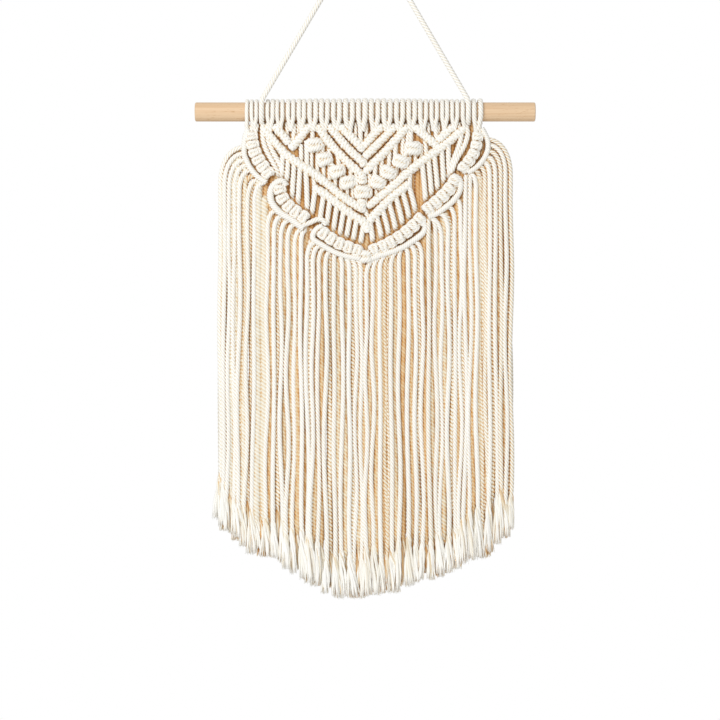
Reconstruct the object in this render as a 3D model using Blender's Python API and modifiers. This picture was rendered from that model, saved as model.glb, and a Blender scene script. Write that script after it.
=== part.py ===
"""Macrame wall hanging: cotton cords knotted on a wooden dowel, with a long fringe.

Metres, +Z up, the front faces -Y. The origin is the hanging point, under the top of the
hanging cord, so everything hangs below it. Places on the knotted front are written as
(x, drop): x from the middle of the hanging, drop down from the dowel's axis.
"""
import math
import random

import bmesh
import bpy
from mathutils import Vector

# Driving sizes
CORD = 0.0040  # diameter of every cotton cord
DOWEL_LENGTH = 0.250
DOWEL_RADIUS = 0.007
DOWEL_BEVEL = 0.0006
DOWEL_BELOW_HOOK = 0.1284  # the dowel's axis under the hanging point
GAP = 0.0003  # clearance between pieces that touch

# Heading: lark's heads round the dowel, seen as side-by-side wraps
WRAP_RADIUS = DOWEL_RADIUS + GAP + CORD
WRAP_GROOVE = WRAP_RADIUS - 0.0013
WRAP_BORE = DOWEL_RADIUS + 0.0004
WRAP_SIDES = 8
BORE_SIDES = 20
CROWDING = 0.115  # the wraps sit a little closer towards the two ends
HEADING_MIDDLE = {"from": -0.0736, "to": 0.0732, "wraps": 35}
OUTER_HEADINGS = {
    "left_upper_swag": {"from": -0.0885, "to": -0.0782, "wraps": 3},
    "right_upper_swag": {"from": 0.0778, "to": 0.0865, "wraps": 2},
}

# Hanging cord: wraps the dowel once on each side, between the lark's heads
HANGER_SIDES_X = {"left": -0.0759, "right": 0.0755}
HANGER_WRAP = DOWEL_RADIUS + GAP + CORD / 2
HANGER_FREE_END = 35  # degrees above the dowel's back where the cord's end lies
HANGER_ARCH = 0.0082  # the cord's bend over the hook, and the angles where it starts and ends
HANGER_ARCH_FROM = 150
HANGER_LEAN = 0.0120  # the bend where the wrap turns towards the hook
HANGER_STEP = 0.0043  # between the path's points in its bends; twice that along the rises
HANGER_RISE_TOP = -0.0120  # z where the rises end
HANGER_RISE_FOOT = -0.1120

# Knotted front
FRONT_Y = -0.0035  # the knots' middle plane, a little in front of the dowel's axis
BAR_RADIUS = 0.0034
BAR_RIDGE = 0.0046  # one turn of cord round the bar
BAR_DIP = 0.84
KNOT_DIP = 0.80
KNOT_DEPTH = 0.0037  # half a square knot's thickness
KNOT_PROFILE = [  # share of the half height, share of the half width
    (-1.0, 0.62), (-0.55, 1.0), (0.0, KNOT_DIP), (0.55, 1.0), (1.0, 0.62),
]

# Diagonal bars of double half hitches: name, points (x, drop) from the outer end
BARS = {
    "inner_chevron_left": [(-0.0178, 0.0100), (-0.0090, 0.0200), (-0.0022, 0.0276)],
    "inner_chevron_right": [(0.0118, 0.0100), (0.0060, 0.0172), (0.0006, 0.0240)],
    "middle_chevron_left": [(-0.0266, 0.0100), (-0.0140, 0.0240), (-0.0024, 0.0362)],
    "middle_chevron_right": [(0.0214, 0.0100), (0.0110, 0.0228), (0.0014, 0.0330)],
    "outer_chevron_left": [(-0.0349, 0.0100), (-0.0185, 0.0283), (-0.0015, 0.0455)],
    "outer_chevron_right": [(0.0304, 0.0100), (0.0166, 0.0278), (0.0030, 0.0415)],
    "small_left_outer": [(-0.0660, 0.0100), (-0.0606, 0.0176), (-0.0568, 0.0222)],
    "small_left_inner": [(-0.0421, 0.0100), (-0.0482, 0.0196), (-0.0540, 0.0262)],
    "small_right_inner": [(0.0369, 0.0100), (0.0452, 0.0190), (0.0528, 0.0250)],
    "small_right_outer": [(0.0640, 0.0100), (0.0586, 0.0166), (0.0544, 0.0206)],
    "long_left": [(-0.0735, 0.0146), (-0.0662, 0.0228), (-0.0568, 0.0329), (-0.0416, 0.0430),
                  (-0.0303, 0.0514), (-0.0191, 0.0609), (-0.0097, 0.0672), (-0.0016, 0.0722)],
    "long_right": [(0.0716, 0.0138), (0.0696, 0.0151), (0.0558, 0.0267), (0.0443, 0.0347),
                   (0.0327, 0.0436), (0.0219, 0.0534), (0.0113, 0.0623), (0.0030, 0.0690)],
    "lower_left": [(-0.0366, 0.0565), (-0.0295, 0.0606), (-0.0225, 0.0659), (-0.0109, 0.0747),
                   (0.0006, 0.0827), (0.0015, 0.0872)],
    "lower_right": [(0.0318, 0.0534), (0.0202, 0.0623), (0.0113, 0.0712), (0.0038, 0.0795)],
}

# Square knots between the chevrons and the long bars: x, drop, half width, half height
KNOTS = [
    (-0.0371, 0.0244, 0.0058, 0.0040),
    (-0.0286, 0.0351, 0.0058, 0.0042),
    (-0.0190, 0.0440, 0.0060, 0.0042),
    (-0.0112, 0.0525, 0.0058, 0.0042),
    (-0.0015, 0.0587, 0.0066, 0.0046),
    (0.0346, 0.0262, 0.0062, 0.0044),
    (0.0239, 0.0385, 0.0060, 0.0042),
    (0.0146, 0.0478, 0.0060, 0.0042),
    (-0.0020, 0.0500, 0.0036, 0.0036),
    (-0.0020, 0.0662, 0.0036, 0.0034),
]

# Short strands of the knotted front: x and drop of the top, x and drop of the bottom
STRANDS = [
    (-0.0705, 0.0080, -0.0700, 0.0190),
    (-0.0520, 0.0090, -0.0530, 0.0235),
    (-0.0472, 0.0240, -0.0470, 0.0385),
    (-0.0432, 0.0215, -0.0430, 0.0415),
    (-0.0390, 0.0090, -0.0385, 0.0240),
    (-0.0395, 0.0270, -0.0390, 0.0440),
    (-0.0345, 0.0270, -0.0345, 0.0480),
    (-0.0345, 0.0280, -0.0305, 0.0330),
    (-0.0298, 0.0380, -0.0297, 0.0510),
    (-0.0258, 0.0380, -0.0215, 0.0420),
    (-0.0210, 0.0470, -0.0207, 0.0585),
    (-0.0160, 0.0470, -0.0130, 0.0505),
    (-0.0128, 0.0550, -0.0127, 0.0645),
    (-0.0085, 0.0550, -0.0045, 0.0580),
    (-0.0042, 0.0620, -0.0042, 0.0690),
    (-0.0018, 0.0445, -0.0018, 0.0560),
    (-0.0016, 0.0690, 0.0030, 0.0800),
    (-0.0035, 0.0090, -0.0030, 0.0260),
    (0.0335, 0.0090, 0.0335, 0.0240),
    (0.0395, 0.0290, 0.0394, 0.0375),
    (0.0440, 0.0200, 0.0450, 0.0330),
    (0.0345, 0.0295, 0.0343, 0.0415),
    (0.0315, 0.0290, 0.0270, 0.0355),
    (0.0250, 0.0420, 0.0247, 0.0505),
    (0.0210, 0.0415, 0.0175, 0.0450),
    (0.0200, 0.0420, 0.0198, 0.0545),
    (0.0120, 0.0500, 0.0030, 0.0570),
    (0.0142, 0.0510, 0.0140, 0.0595),
    (0.0520, 0.0090, 0.0525, 0.0220),
    (0.0690, 0.0080, 0.0690, 0.0160),
    (-0.0380, 0.0450, -0.0372, 0.0570),
    (0.0330, 0.0440, 0.0325, 0.0540),
]

# Strands that leave a bar and hang down behind the swags' bands: x and drop of the root,
# then of the place they run towards; each ends behind the first band that it meets
HANGING = [
    (-0.0712, 0.0090, -0.0625, 0.0680),
    (-0.0606, 0.0290, -0.0614, 0.0600),
    (-0.0575, 0.0330, -0.0585, 0.0700),
    (-0.0520, 0.0370, -0.0537, 0.0740),
    (-0.0470, 0.0400, -0.0490, 0.0780),
    (-0.0420, 0.0430, -0.0446, 0.0810),
    (-0.0366, 0.0565, -0.0396, 0.0880),
    (-0.0305, 0.0620, -0.0336, 0.0900),
    (-0.0255, 0.0640, -0.0286, 0.0940),
    (-0.0205, 0.0680, -0.0236, 0.0980),
    (-0.0155, 0.0715, -0.0190, 0.1010),
    (-0.0105, 0.0750, -0.0143, 0.1040),
    (-0.0060, 0.0785, -0.0094, 0.1060),
    (-0.0010, 0.0820, -0.0040, 0.1080),
    (0.0705, 0.0090, 0.0655, 0.0620),
    (0.0608, 0.0230, 0.0616, 0.0580),
    (0.0560, 0.0270, 0.0578, 0.0640),
    (0.0505, 0.0310, 0.0535, 0.0700),
    (0.0455, 0.0345, 0.0488, 0.0740),
    (0.0405, 0.0385, 0.0438, 0.0780),
    (0.0318, 0.0540, 0.0378, 0.0840),
    (0.0270, 0.0580, 0.0330, 0.0880),
    (0.0222, 0.0620, 0.0280, 0.0920),
    (0.0172, 0.0665, 0.0230, 0.0960),
    (0.0125, 0.0715, 0.0180, 0.1000),
    (0.0080, 0.0760, 0.0128, 0.1030),
    (0.0036, 0.0810, 0.0060, 0.1040),
]
STRAND_FLATTEN = 0.0012
STRAND_HIDDEN = 0.0030  # this near a band's middle line, a strand is hidden and ends
STRAND_CLEAR = 0.0030  # this far outside a band's edge, a strand is at its full depth
BEHIND_BAND_Y = 0.00145  # the strands' depth where they pass behind a band

# Swags: flat sennits of square knots with a rope along the outer edge.
# band and rope are (x, drop); half widths are at the band's start and end; strands_from is
# the share of the rope's length where its outermost fringe strand starts
SWAG_Y = -0.0040
SWAG_DEPTH = 0.0032  # half the bands' thickness
SWAG_RIDGE = 0.0036
LEADER_RADIUS = 0.0036  # the cords that come down from an outer heading into its swag
LEADER_FROM = 0.0085
LEADER_TO = 0.0155
ROPE_RADIUS = 0.0021
ROPE_STEP = 0.0036  # between the points of the rope's path
ROOT_STEP = 0.0008  # between the places along the rope where a fringe strand may start
SWAGS = {
    "left_upper_swag": {
        "half_width": (0.0054, 0.0046),
        "band": [(-0.0842, 0.0130), (-0.0835, 0.0200), (-0.0813, 0.0291), (-0.0771, 0.0375),
                 (-0.0729, 0.0432), (-0.0698, 0.0476)],
        "rope": [(-0.0858, 0.0130), (-0.0882, 0.0200), (-0.0888, 0.0305), (-0.0871, 0.0361),
                 (-0.0842, 0.0418), (-0.0794, 0.0474), (-0.0724, 0.0522)],
        "first_strand": 0, "last_strand": 7, "behind": (1, 4, 6), "strands_from": 0.29},
    "left_middle_swag": {
        "half_width": (0.0046, 0.0046),
        "band": [(-0.0633, 0.0562), (-0.0618, 0.0613), (-0.0585, 0.0672), (-0.0534, 0.0720),
                 (-0.0479, 0.0756), (-0.0431, 0.0793)],
        "rope": [(-0.0604, 0.0536), (-0.0655, 0.0551), (-0.0695, 0.0580), (-0.0712, 0.0624),
                 (-0.0699, 0.0675), (-0.0659, 0.0723), (-0.0604, 0.0756), (-0.0548, 0.0789),
                 (-0.0493, 0.0830), (-0.0452, 0.0862)],
        "first_strand": 8, "last_strand": 13, "behind": (10,), "strands_from": 0.42},
    "left_lower_swag": {
        "half_width": (0.0046, 0.0042),
        "band": [(-0.0332, 0.0870), (-0.0280, 0.0914), (-0.0214, 0.0958), (-0.0148, 0.0987),
                 (-0.0082, 0.1013), (-0.0034, 0.1030)],
        "rope": [(-0.0317, 0.0837), (-0.0372, 0.0863), (-0.0410, 0.0907), (-0.0418, 0.0950),
                 (-0.0372, 0.0978), (-0.0314, 0.1004), (-0.0250, 0.1035), (-0.0185, 0.1055),
                 (-0.0119, 0.1068), (-0.0034, 0.1079)],
        "first_strand": 14, "last_strand": 23, "behind": (15, 18, 21), "strands_from": 0.36},
    "right_lower_swag": {
        "half_width": (0.0046, 0.0042),
        "band": [(0.0373, 0.0822), (0.0325, 0.0866), (0.0270, 0.0910), (0.0211, 0.0947),
                 (0.0145, 0.0984), (0.0082, 0.1010)],
        "rope": [(0.0399, 0.0804), (0.0439, 0.0841), (0.0428, 0.0886), (0.0388, 0.0924),
                 (0.0336, 0.0960), (0.0285, 0.0992), (0.0226, 0.1018), (0.0167, 0.1038),
                 (0.0109, 0.1056), (0.0038, 0.1082)],
        "first_strand": 24, "last_strand": 34, "behind": (27, 31), "strands_from": 0.36},
    "right_middle_swag": {
        "half_width": (0.0046, 0.0046),
        "band": [(0.0662, 0.0506), (0.0637, 0.0545), (0.0597, 0.0595), (0.0549, 0.0642),
                 (0.0501, 0.0686), (0.0454, 0.0720)],
        "rope": [(0.0640, 0.0470), (0.0689, 0.0496), (0.0702, 0.0543), (0.0687, 0.0598),
                 (0.0650, 0.0650), (0.0608, 0.0688), (0.0559, 0.0725), (0.0511, 0.0755),
                 (0.0460, 0.0775)],
        "first_strand": 35, "last_strand": 40, "behind": (36, 38), "strands_from": 0.42},
    "right_upper_swag": {
        "half_width": (0.0052, 0.0046),
        "band": [(0.0822, 0.0135), (0.0821, 0.0190), (0.0808, 0.0280), (0.0787, 0.0326),
                 (0.0762, 0.0364), (0.0727, 0.0406)],
        "rope": [(0.0852, 0.0125), (0.0893, 0.0187), (0.0902, 0.0231), (0.0898, 0.0287),
                 (0.0878, 0.0336), (0.0843, 0.0384), (0.0797, 0.0424), (0.0750, 0.0452)],
        "first_strand": 41, "last_strand": 48, "behind": (42, 44, 47), "strands_from": 0.22},
}

# Fringe
FRINGE_COUNT = 49
FRINGE_PITCH = 0.00442  # where the strands have just turned down
FRINGE_SPREAD = 0.047  # how much wider the fringe is at its foot
FRINGE_Y = -0.0036
FRINGE_BEHIND_Y = 0.0020
BEHIND_SHORTER = 0.0060  # the strands behind end this much higher
FRINGE_RADIUS = 0.00195
FRINGE_FLARE = 1.04  # the untwisted ends are a little thicker
FRAYED_LENGTH = 0.030
STRAND_WANDER = 0.00012
STRAND_WANDER_AT = (0.45,)
LONG_SHOULDER = (35, 62, 90)  # degrees turned at the strand's points, on the upper swags
SHORT_SHOULDER = (45, 90)
LAST_ROOT = 0.97  # share of the rope's length where the innermost strand starts
SHOULDER_FALL = 1.1  # how far a strand falls while it turns, over how far it reaches sideways
SHOULDER_LEAST = 0.0060
TRIM_UNEVEN = 0.0012
RANDOM_SEED = 7

# The lower edge of the fringe: x, drop
TRIM = [
    (-0.1140, 0.2920), (-0.1103, 0.2960), (-0.1010, 0.3086), (-0.0918, 0.3145),
    (-0.0808, 0.3255), (-0.0673, 0.3289), (-0.0589, 0.3339), (-0.0513, 0.3407),
    (-0.0404, 0.3449), (-0.0336, 0.3499), (-0.0235, 0.3567), (-0.0007, 0.3575),
    (0.0111, 0.3530), (0.0244, 0.3524), (0.0316, 0.3493), (0.0422, 0.3444),
    (0.0511, 0.3435), (0.0582, 0.3390), (0.0805, 0.3293), (0.0921, 0.3222),
    (0.1028, 0.3124), (0.1140, 0.3010),
]

# Colours: linear red, green, blue, alpha
COTTON = (0.86, 0.80, 0.68, 1.0)
BEECH = (0.66, 0.45, 0.26, 1.0)


def clear_scene():
    for obj in list(bpy.data.objects):
        bpy.data.objects.remove(obj, do_unlink=True)


def make_collection(name):
    collection = bpy.data.collections.new(name)
    bpy.context.scene.collection.children.link(collection)
    return collection


def make_material(name, colour, roughness):
    material = bpy.data.materials.new(name)
    material.use_nodes = True
    shader = material.node_tree.nodes["Principled BSDF"]
    shader.inputs["Base Color"].default_value = colour
    shader.inputs["Roughness"].default_value = roughness
    shader.inputs["Metallic"].default_value = 0.0
    return material


def place(x, drop, y=FRONT_Y):
    """A point of the hanging from its x, its drop under the dowel's axis and its depth."""
    return Vector((x, y, -DOWEL_BELOW_HOOK - drop))


def smooth(points, spacing, least=2):
    """Evenly spaced points on a smooth curve through the given ones."""
    ends = [points[0] * 2 - points[1]] + list(points) + [points[-1] * 2 - points[-2]]
    fine = []
    for a, b, c, d in zip(ends, ends[1:], ends[2:], ends[3:]):
        for step in range(12):
            t = step / 12
            bend = (2 * a - 5 * b + 4 * c - d) * t * t
            twist = (3 * b - a - 3 * c + d) * t * t * t
            fine.append((2 * b + (c - a) * t + bend + twist) / 2)
    fine.append(points[-1].copy())
    run = [0.0]
    for a, b in zip(fine, fine[1:]):
        run.append(run[-1] + (b - a).length)
    count = max(least, round(run[-1] / spacing))
    even = []
    place_in = 0
    for index in range(count + 1):
        goal = run[-1] * index / count
        while place_in < len(run) - 2 and run[place_in + 1] < goal:
            place_in += 1
        part = (goal - run[place_in]) / max(run[place_in + 1] - run[place_in], 1e-9)
        even.append(fine[place_in].lerp(fine[place_in + 1], min(max(part, 0.0), 1.0)))
    return even


def cord_curve(name, points, radius, sides, scales=None):
    """A round cord as a curve with filled ends; scales thickens it point by point."""
    curve = bpy.data.curves.new(name, "CURVE")
    curve.dimensions = "3D"
    curve.bevel_depth = radius
    curve.bevel_resolution = (sides - 4) // 2
    curve.use_fill_caps = True
    spline = curve.splines.new("POLY")
    spline.points.add(len(points) - 1)
    for index, point in enumerate(points):
        spline.points[index].co = (*point, 1.0)
        spline.points[index].radius = scales[index] if scales else 1.0
    return bpy.data.objects.new(name, curve)


def tube(name, points, radius, sides, scales=None):
    """The same cord as a closed mesh, for pieces that are joined."""
    source = cord_curve(name, points, radius, sides, scales)
    bpy.context.scene.collection.objects.link(source)
    bpy.context.view_layer.update()
    mesh = bpy.data.meshes.new_from_object(source.evaluated_get(bpy.context.evaluated_depsgraph_get()))
    bpy.data.objects.remove(source, do_unlink=True)
    weld(mesh)
    result = bpy.data.objects.new(name, mesh)
    bpy.context.scene.collection.objects.link(result)
    return result


def weld(mesh):
    work = bmesh.new()
    work.from_mesh(mesh)
    bmesh.ops.remove_doubles(work, verts=work.verts, dist=0.00001)
    bmesh.ops.recalc_face_normals(work, faces=work.faces)
    work.to_mesh(mesh)
    work.free()


def flatten(piece, middle_y, share):
    """Squeeze a piece front to back about its middle plane."""
    for vertex in piece.data.vertices:
        vertex.co.y = middle_y + (vertex.co.y - middle_y) * share
    return piece


def ridged(name, points, radius, ridge, dip, sides, taper=(1.0, 1.0)):
    """A tube with raised turns: each turn of cord is one crest, with a groove after it."""
    turns = max(2, round(path_length(points) / ridge))
    path = smooth(points, path_length(points) / (2 * turns), least=2 * turns)
    scales = []
    for index in range(len(path)):
        crest = 1.0 if index % 2 else dip
        share = index / (len(path) - 1)
        scales.append(crest * (taper[0] + (taper[1] - taper[0]) * share))
    return tube(name, path, radius, sides, scales)


def path_length(points):
    return sum((b - a).length for a, b in zip(points, points[1:]))


def fuse(name, pieces, collection, material):
    """Join overlapping pieces into one closed solid."""
    others = bpy.data.collections.new(name + "_pieces")
    bpy.context.scene.collection.children.link(others)
    for piece in pieces[1:]:
        bpy.context.scene.collection.objects.unlink(piece)
        others.objects.link(piece)
    body = pieces[0]
    joint = body.modifiers.new("Join", "BOOLEAN")
    joint.operation = "UNION"
    joint.solver = "EXACT"
    joint.operand_type = "COLLECTION"
    joint.collection = others
    return finish(name, body, collection, material, others)


def finish(name, body, collection, material, others=None):
    """Keep a body's evaluated mesh as the named object of the collection."""
    bpy.context.view_layer.update()
    seen = body.evaluated_get(bpy.context.evaluated_depsgraph_get())
    mesh = bpy.data.meshes.new_from_object(seen)
    mesh.name = name
    mesh.materials.clear()
    mesh.materials.append(material)
    result = bpy.data.objects.new(name, mesh)
    collection.objects.link(result)
    bpy.data.objects.remove(body, do_unlink=True)
    if others:
        for piece in list(others.objects):
            bpy.data.objects.remove(piece, do_unlink=True)
        bpy.data.collections.remove(others)
    return result


def make_dowel(collection, material):
    bpy.ops.mesh.primitive_cylinder_add(
        vertices=32, radius=DOWEL_RADIUS, depth=DOWEL_LENGTH, location=place(0, 0, 0),
        rotation=(0, math.pi / 2, 0))
    dowel = bpy.context.active_object
    dowel.name = "dowel"
    bevel = dowel.modifiers.new("Worn edge", "BEVEL")
    bevel.width = DOWEL_BEVEL
    bevel.segments = 1
    bevel.limit_method = "ANGLE"
    dowel.data.materials.append(material)
    dowel.data.shade_smooth()
    dowel.data.set_sharp_from_angle(angle=math.radians(40))
    for home in list(dowel.users_collection):
        home.objects.unlink(dowel)
    collection.objects.link(dowel)


def sleeve(name, group, crowding):
    """Side-by-side wraps of cord round the dowel, as one ridged sleeve with a bore."""
    wraps = group["wraps"]
    width = group["to"] - group["from"]
    path = []
    scales = []
    for index in range(2 * wraps + 1):
        share = index / (2 * wraps)
        share -= crowding * math.sin(2 * math.pi * share) / (2 * math.pi)
        path.append(place(group["from"] + width * share, 0, 0))
        scales.append(1.0 if index % 2 else WRAP_GROOVE / WRAP_RADIUS)
    body = tube(name, path, WRAP_RADIUS, WRAP_SIDES, scales)
    middle = (group["from"] + group["to"]) / 2
    bpy.ops.mesh.primitive_cylinder_add(
        vertices=BORE_SIDES, radius=WRAP_BORE / math.cos(math.pi / BORE_SIDES), depth=width * 2,
        location=place(middle, 0, 0), rotation=(0, math.pi / 2, 0))
    bore = bpy.context.active_object
    hole = body.modifiers.new("Bore", "BOOLEAN")
    hole.operation = "DIFFERENCE"
    hole.solver = "EXACT"
    hole.object = bore
    bored = finish(name, body, bpy.context.scene.collection, make_blank())
    bpy.data.objects.remove(bore, do_unlink=True)
    return bored


def make_blank():
    return bpy.data.materials.get("blank") or bpy.data.materials.new("blank")


def make_bar(name, points):
    path = [place(x, drop) for x, drop in points]
    return ridged(name, path, BAR_RADIUS, BAR_RIDGE, BAR_DIP, 6)


def make_knot(x, drop, half_width, half_height):
    """A square knot: a flat cushion with a groove across its middle."""
    path = [place(x, drop + half_height * height) for height, width in KNOT_PROFILE]
    widths = [width for height, width in KNOT_PROFILE]
    knot = tube("knot", path, half_width, 6, widths)
    return flatten(knot, FRONT_Y, KNOT_DEPTH / half_width)


def make_strand(top, bottom, y):
    return tube("strand", [place(*top, y), place(*bottom, y)], CORD / 2, 4)


def nearest(point, path):
    """Distance in the front plane from a point to a path."""
    best = 1.0
    for a, b in zip(path, path[1:]):
        run = b - a
        share = max(0.0, min(1.0, (point - a).dot(run) / run.length_squared))
        best = min(best, (point - a - run * share).length)
    return best


def band_lines():
    """Each swag's band as a fine line in the front plane, with its half width."""
    lines = []
    for swag in SWAGS.values():
        points = [place(x, drop, 0) for x, drop in swag["band"]]
        lines.append((smooth(points, CORD / 2), max(swag["half_width"])))
    return lines


def make_hanging_strand(root_x, root_drop, goal_x, goal_drop, bands):
    """A strand that curves out of a bar, hangs down and ends behind a swag's band."""
    path = []
    nearest_yet = 1.0
    for step in range(41):
        share = step / 40
        x = root_x + (goal_x - root_x) * math.sin(math.pi / 2 * share)
        point = place(x, root_drop + (goal_drop - root_drop) * share, 0)
        clear = min(nearest(point, line) for line, half_width in bands)
        if clear < STRAND_HIDDEN and clear > nearest_yet:
            break
        nearest_yet = clear
        path.append(point)
    knee = len(path) - 1
    while knee > 1 and min(nearest(path[knee], line) - width for line, width in bands) < STRAND_CLEAR:
        knee -= 1
    kept = []
    for index, y in ((0, FRONT_Y), (knee, BEHIND_BAND_Y), (len(path) - 1, BEHIND_BAND_Y)):
        point = path[index]
        if not kept or (point - kept[-1]).length > CORD / 2:
            kept.append(Vector((point.x, y, point.z)))
    return tube("hanging", kept, CORD / 2, 4)


def make_panel(collection, material):
    pieces = [sleeve("middle_heading", HEADING_MIDDLE, CROWDING)]
    for name, points in BARS.items():
        pieces.append(make_bar(name, points))
    for row in KNOTS:
        pieces.append(make_knot(*row))
    for number, (x1, drop1, x2, drop2) in enumerate(STRANDS):
        y = FRONT_Y + STRAND_FLATTEN * (number % 3 - 1) / 2
        pieces.append(make_strand((x1, drop1), (x2, drop2), y))
    bands = band_lines()
    for row in HANGING:
        pieces.append(make_hanging_strand(*row, bands))
    return fuse("knotted_panel", pieces, collection, material)


def trim_drop(x):
    """How far down the fringe is cut at this x."""
    for (x1, drop1), (x2, drop2) in zip(TRIM, TRIM[1:]):
        if x1 <= x <= x2:
            return drop1 + (drop2 - drop1) * (x - x1) / (x2 - x1)
    return TRIM[0][1] if x < 0 else TRIM[-1][1]


def make_fringe_strand(rope, share, number, behind, shoulder, chance):
    """One fringe strand: out of the rope, over a shoulder, then straight down."""
    settled = (number - (FRINGE_COUNT - 1) / 2) * FRINGE_PITCH
    if behind:
        settled += FRINGE_PITCH / 2
    foot = settled * (1 + FRINGE_SPREAD)
    y = FRINGE_BEHIND_Y if behind else FRINGE_Y
    root = rope[round(share * (len(rope) - 1))]
    reach = settled - root.x
    fall = SHOULDER_LEAST + SHOULDER_FALL * abs(reach)
    path = [Vector((root.x, SWAG_Y, root.z))]
    for angle in shoulder:
        turn = math.radians(angle)
        path.append(Vector((root.x + reach * math.sin(turn), y, root.z - fall * (1 - math.cos(turn)))))
    top = path[-1].z
    bottom = -DOWEL_BELOW_HOOK - trim_drop(foot) - chance.uniform(-1, 1) * TRIM_UNEVEN
    if behind:
        bottom += BEHIND_SHORTER
    for part in STRAND_WANDER_AT:
        sway = chance.uniform(-1, 1) * STRAND_WANDER
        path.append(Vector((settled + (foot - settled) * part + sway, y, top + (bottom - top) * part)))
    frayed = bottom + FRAYED_LENGTH
    frayed_share = (top - frayed) / (top - bottom)
    path.append(Vector((settled + (foot - settled) * frayed_share, y, frayed)))
    path.append(Vector((foot, y, bottom)))
    scales = [1.0] * (len(path) - 1) + [FRINGE_FLARE]
    return tube("fringe", path, FRINGE_RADIUS, 4, scales)


def make_swag(name, swag, collection, material, chance):
    band = [place(x, drop, SWAG_Y) for x, drop in swag["band"]]
    start, end = swag["half_width"]
    sennit = ridged("sennit", band, start, SWAG_RIDGE, KNOT_DIP, 8, (1.0, end / start))
    flatten(sennit, SWAG_Y, SWAG_DEPTH / start)
    rope = [place(x, drop, SWAG_Y) for x, drop in swag["rope"]]
    pieces = [sennit, tube("rope", smooth(rope, ROPE_STEP), ROPE_RADIUS, 6)]
    on_rope = smooth(rope, ROOT_STEP)
    numbers = range(swag["first_strand"], swag["last_strand"] + 1)
    shoulder = LONG_SHOULDER if "upper" in name else SHORT_SHOULDER
    outward = sorted(numbers, key=lambda n: -abs(n - (FRINGE_COUNT - 1) / 2))
    for order, number in enumerate(outward):
        share = swag["strands_from"] + (LAST_ROOT - swag["strands_from"]) * order / (len(outward) - 1)
        pieces.append(make_fringe_strand(on_rope, share, number, False, shoulder, chance))
        if number in swag["behind"]:
            pieces.append(make_fringe_strand(on_rope, share, number, True, shoulder, chance))
    if name in OUTER_HEADINGS:
        pieces.append(sleeve("heading", OUTER_HEADINGS[name], 0.0))
        x = swag["band"][0][0]
        leader = [place(x, LEADER_FROM, SWAG_Y), place(x, LEADER_TO, SWAG_Y)]
        pieces.append(tube("leader", leader, LEADER_RADIUS, 8))
    return fuse(name, pieces, collection, material)


def make_hanger(collection, material):
    """The hanging cord: round the dowel on the left, over the hook, round it on the right."""
    middle = Vector((0, 0, CORD / 2 - HANGER_ARCH))
    arch = []
    for step in range(9):
        turn = math.radians(HANGER_ARCH_FROM + (90 - HANGER_ARCH_FROM) * step / 4)
        arch.append(middle + Vector((math.cos(turn), 0, math.sin(turn))) * HANGER_ARCH)
    left = hanger_side(HANGER_SIDES_X["left"], arch[0])
    right = hanger_side(HANGER_SIDES_X["right"], arch[-1])
    path = smooth(left + arch + right[::-1], HANGER_STEP)
    kept = []
    for index, point in enumerate(path):
        if index % 2 == 0 or not HANGER_RISE_FOOT < point.z < HANGER_RISE_TOP:
            kept.append(point)
    cord = cord_curve("hanging_cord", kept, CORD / 2, 8)
    cord.data.materials.append(material)
    collection.objects.link(cord)


def hanger_side(x, goal):
    """One end of the cord: behind the dowel, under it, up its front and towards the hook."""
    points = []
    for step in range(16):
        turn = math.radians(HANGER_FREE_END - (180 + HANGER_FREE_END) * step / 15)
        points.append(place(x, -HANGER_WRAP * math.sin(turn), HANGER_WRAP * math.cos(turn)))
    rise = place(x, -0.0040, -HANGER_WRAP)
    slope = math.atan2(abs(goal.x - rise.x), goal.z - rise.z)
    inward = math.copysign(HANGER_LEAN, -x)
    for step in range(4):
        turn = slope * step / 3
        points.append(rise + Vector((inward * (1 - math.cos(turn)), 0, HANGER_LEAN * math.sin(turn))))
    start = points[-1]
    for step in range(1, 12):
        points.append(start.lerp(goal, step / 12))
    return points


def main():
    clear_scene()
    collection = make_collection("macrame_wall_hanging")
    cotton = make_material("cotton cord", COTTON, 0.9)
    beech = make_material("beech", BEECH, 0.6)
    chance = random.Random(RANDOM_SEED)
    make_dowel(collection, beech)
    make_hanger(collection, cotton)
    make_panel(collection, cotton)
    for name, swag in SWAGS.items():
        make_swag(name, swag, collection, cotton, chance)


main()
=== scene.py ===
# %% [markdown]
# # A macrame wall hanging, cord by cord
#
# The real piece is undyed cotton cord, four plies laid together, knotted on a beech dowel: a
# row of lark's heads, chevrons of double half hitches, square knots between them, and six
# swags, each with a fringe that is combed out at its ends. This lesson lays every cord as a
# real twisted one, along the path that a knotter's hands would give it.

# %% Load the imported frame
import math
import random

import bpy
import numpy as np
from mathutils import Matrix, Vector


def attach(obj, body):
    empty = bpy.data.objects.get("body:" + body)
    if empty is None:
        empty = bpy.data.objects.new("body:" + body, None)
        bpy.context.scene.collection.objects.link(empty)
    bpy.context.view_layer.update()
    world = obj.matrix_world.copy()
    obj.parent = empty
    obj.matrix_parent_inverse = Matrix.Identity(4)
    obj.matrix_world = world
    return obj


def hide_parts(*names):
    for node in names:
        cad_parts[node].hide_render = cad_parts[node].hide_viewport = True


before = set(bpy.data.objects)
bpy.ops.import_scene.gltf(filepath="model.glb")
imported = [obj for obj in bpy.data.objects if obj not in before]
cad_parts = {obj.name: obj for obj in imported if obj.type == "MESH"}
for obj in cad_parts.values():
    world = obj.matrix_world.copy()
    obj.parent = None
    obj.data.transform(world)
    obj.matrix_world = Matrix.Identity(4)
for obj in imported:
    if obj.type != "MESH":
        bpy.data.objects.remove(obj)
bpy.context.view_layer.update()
chance = random.Random(11)

# %% [markdown]
# ## Sizes
#
# Everything is in metres, in the frame's own axes: the origin is where the hook carries the
# cord, and the front faces -Y. A place on the knotted front is easier to read as its x and its
# drop under the dowel's axis, so one small function turns those into a point.

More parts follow.
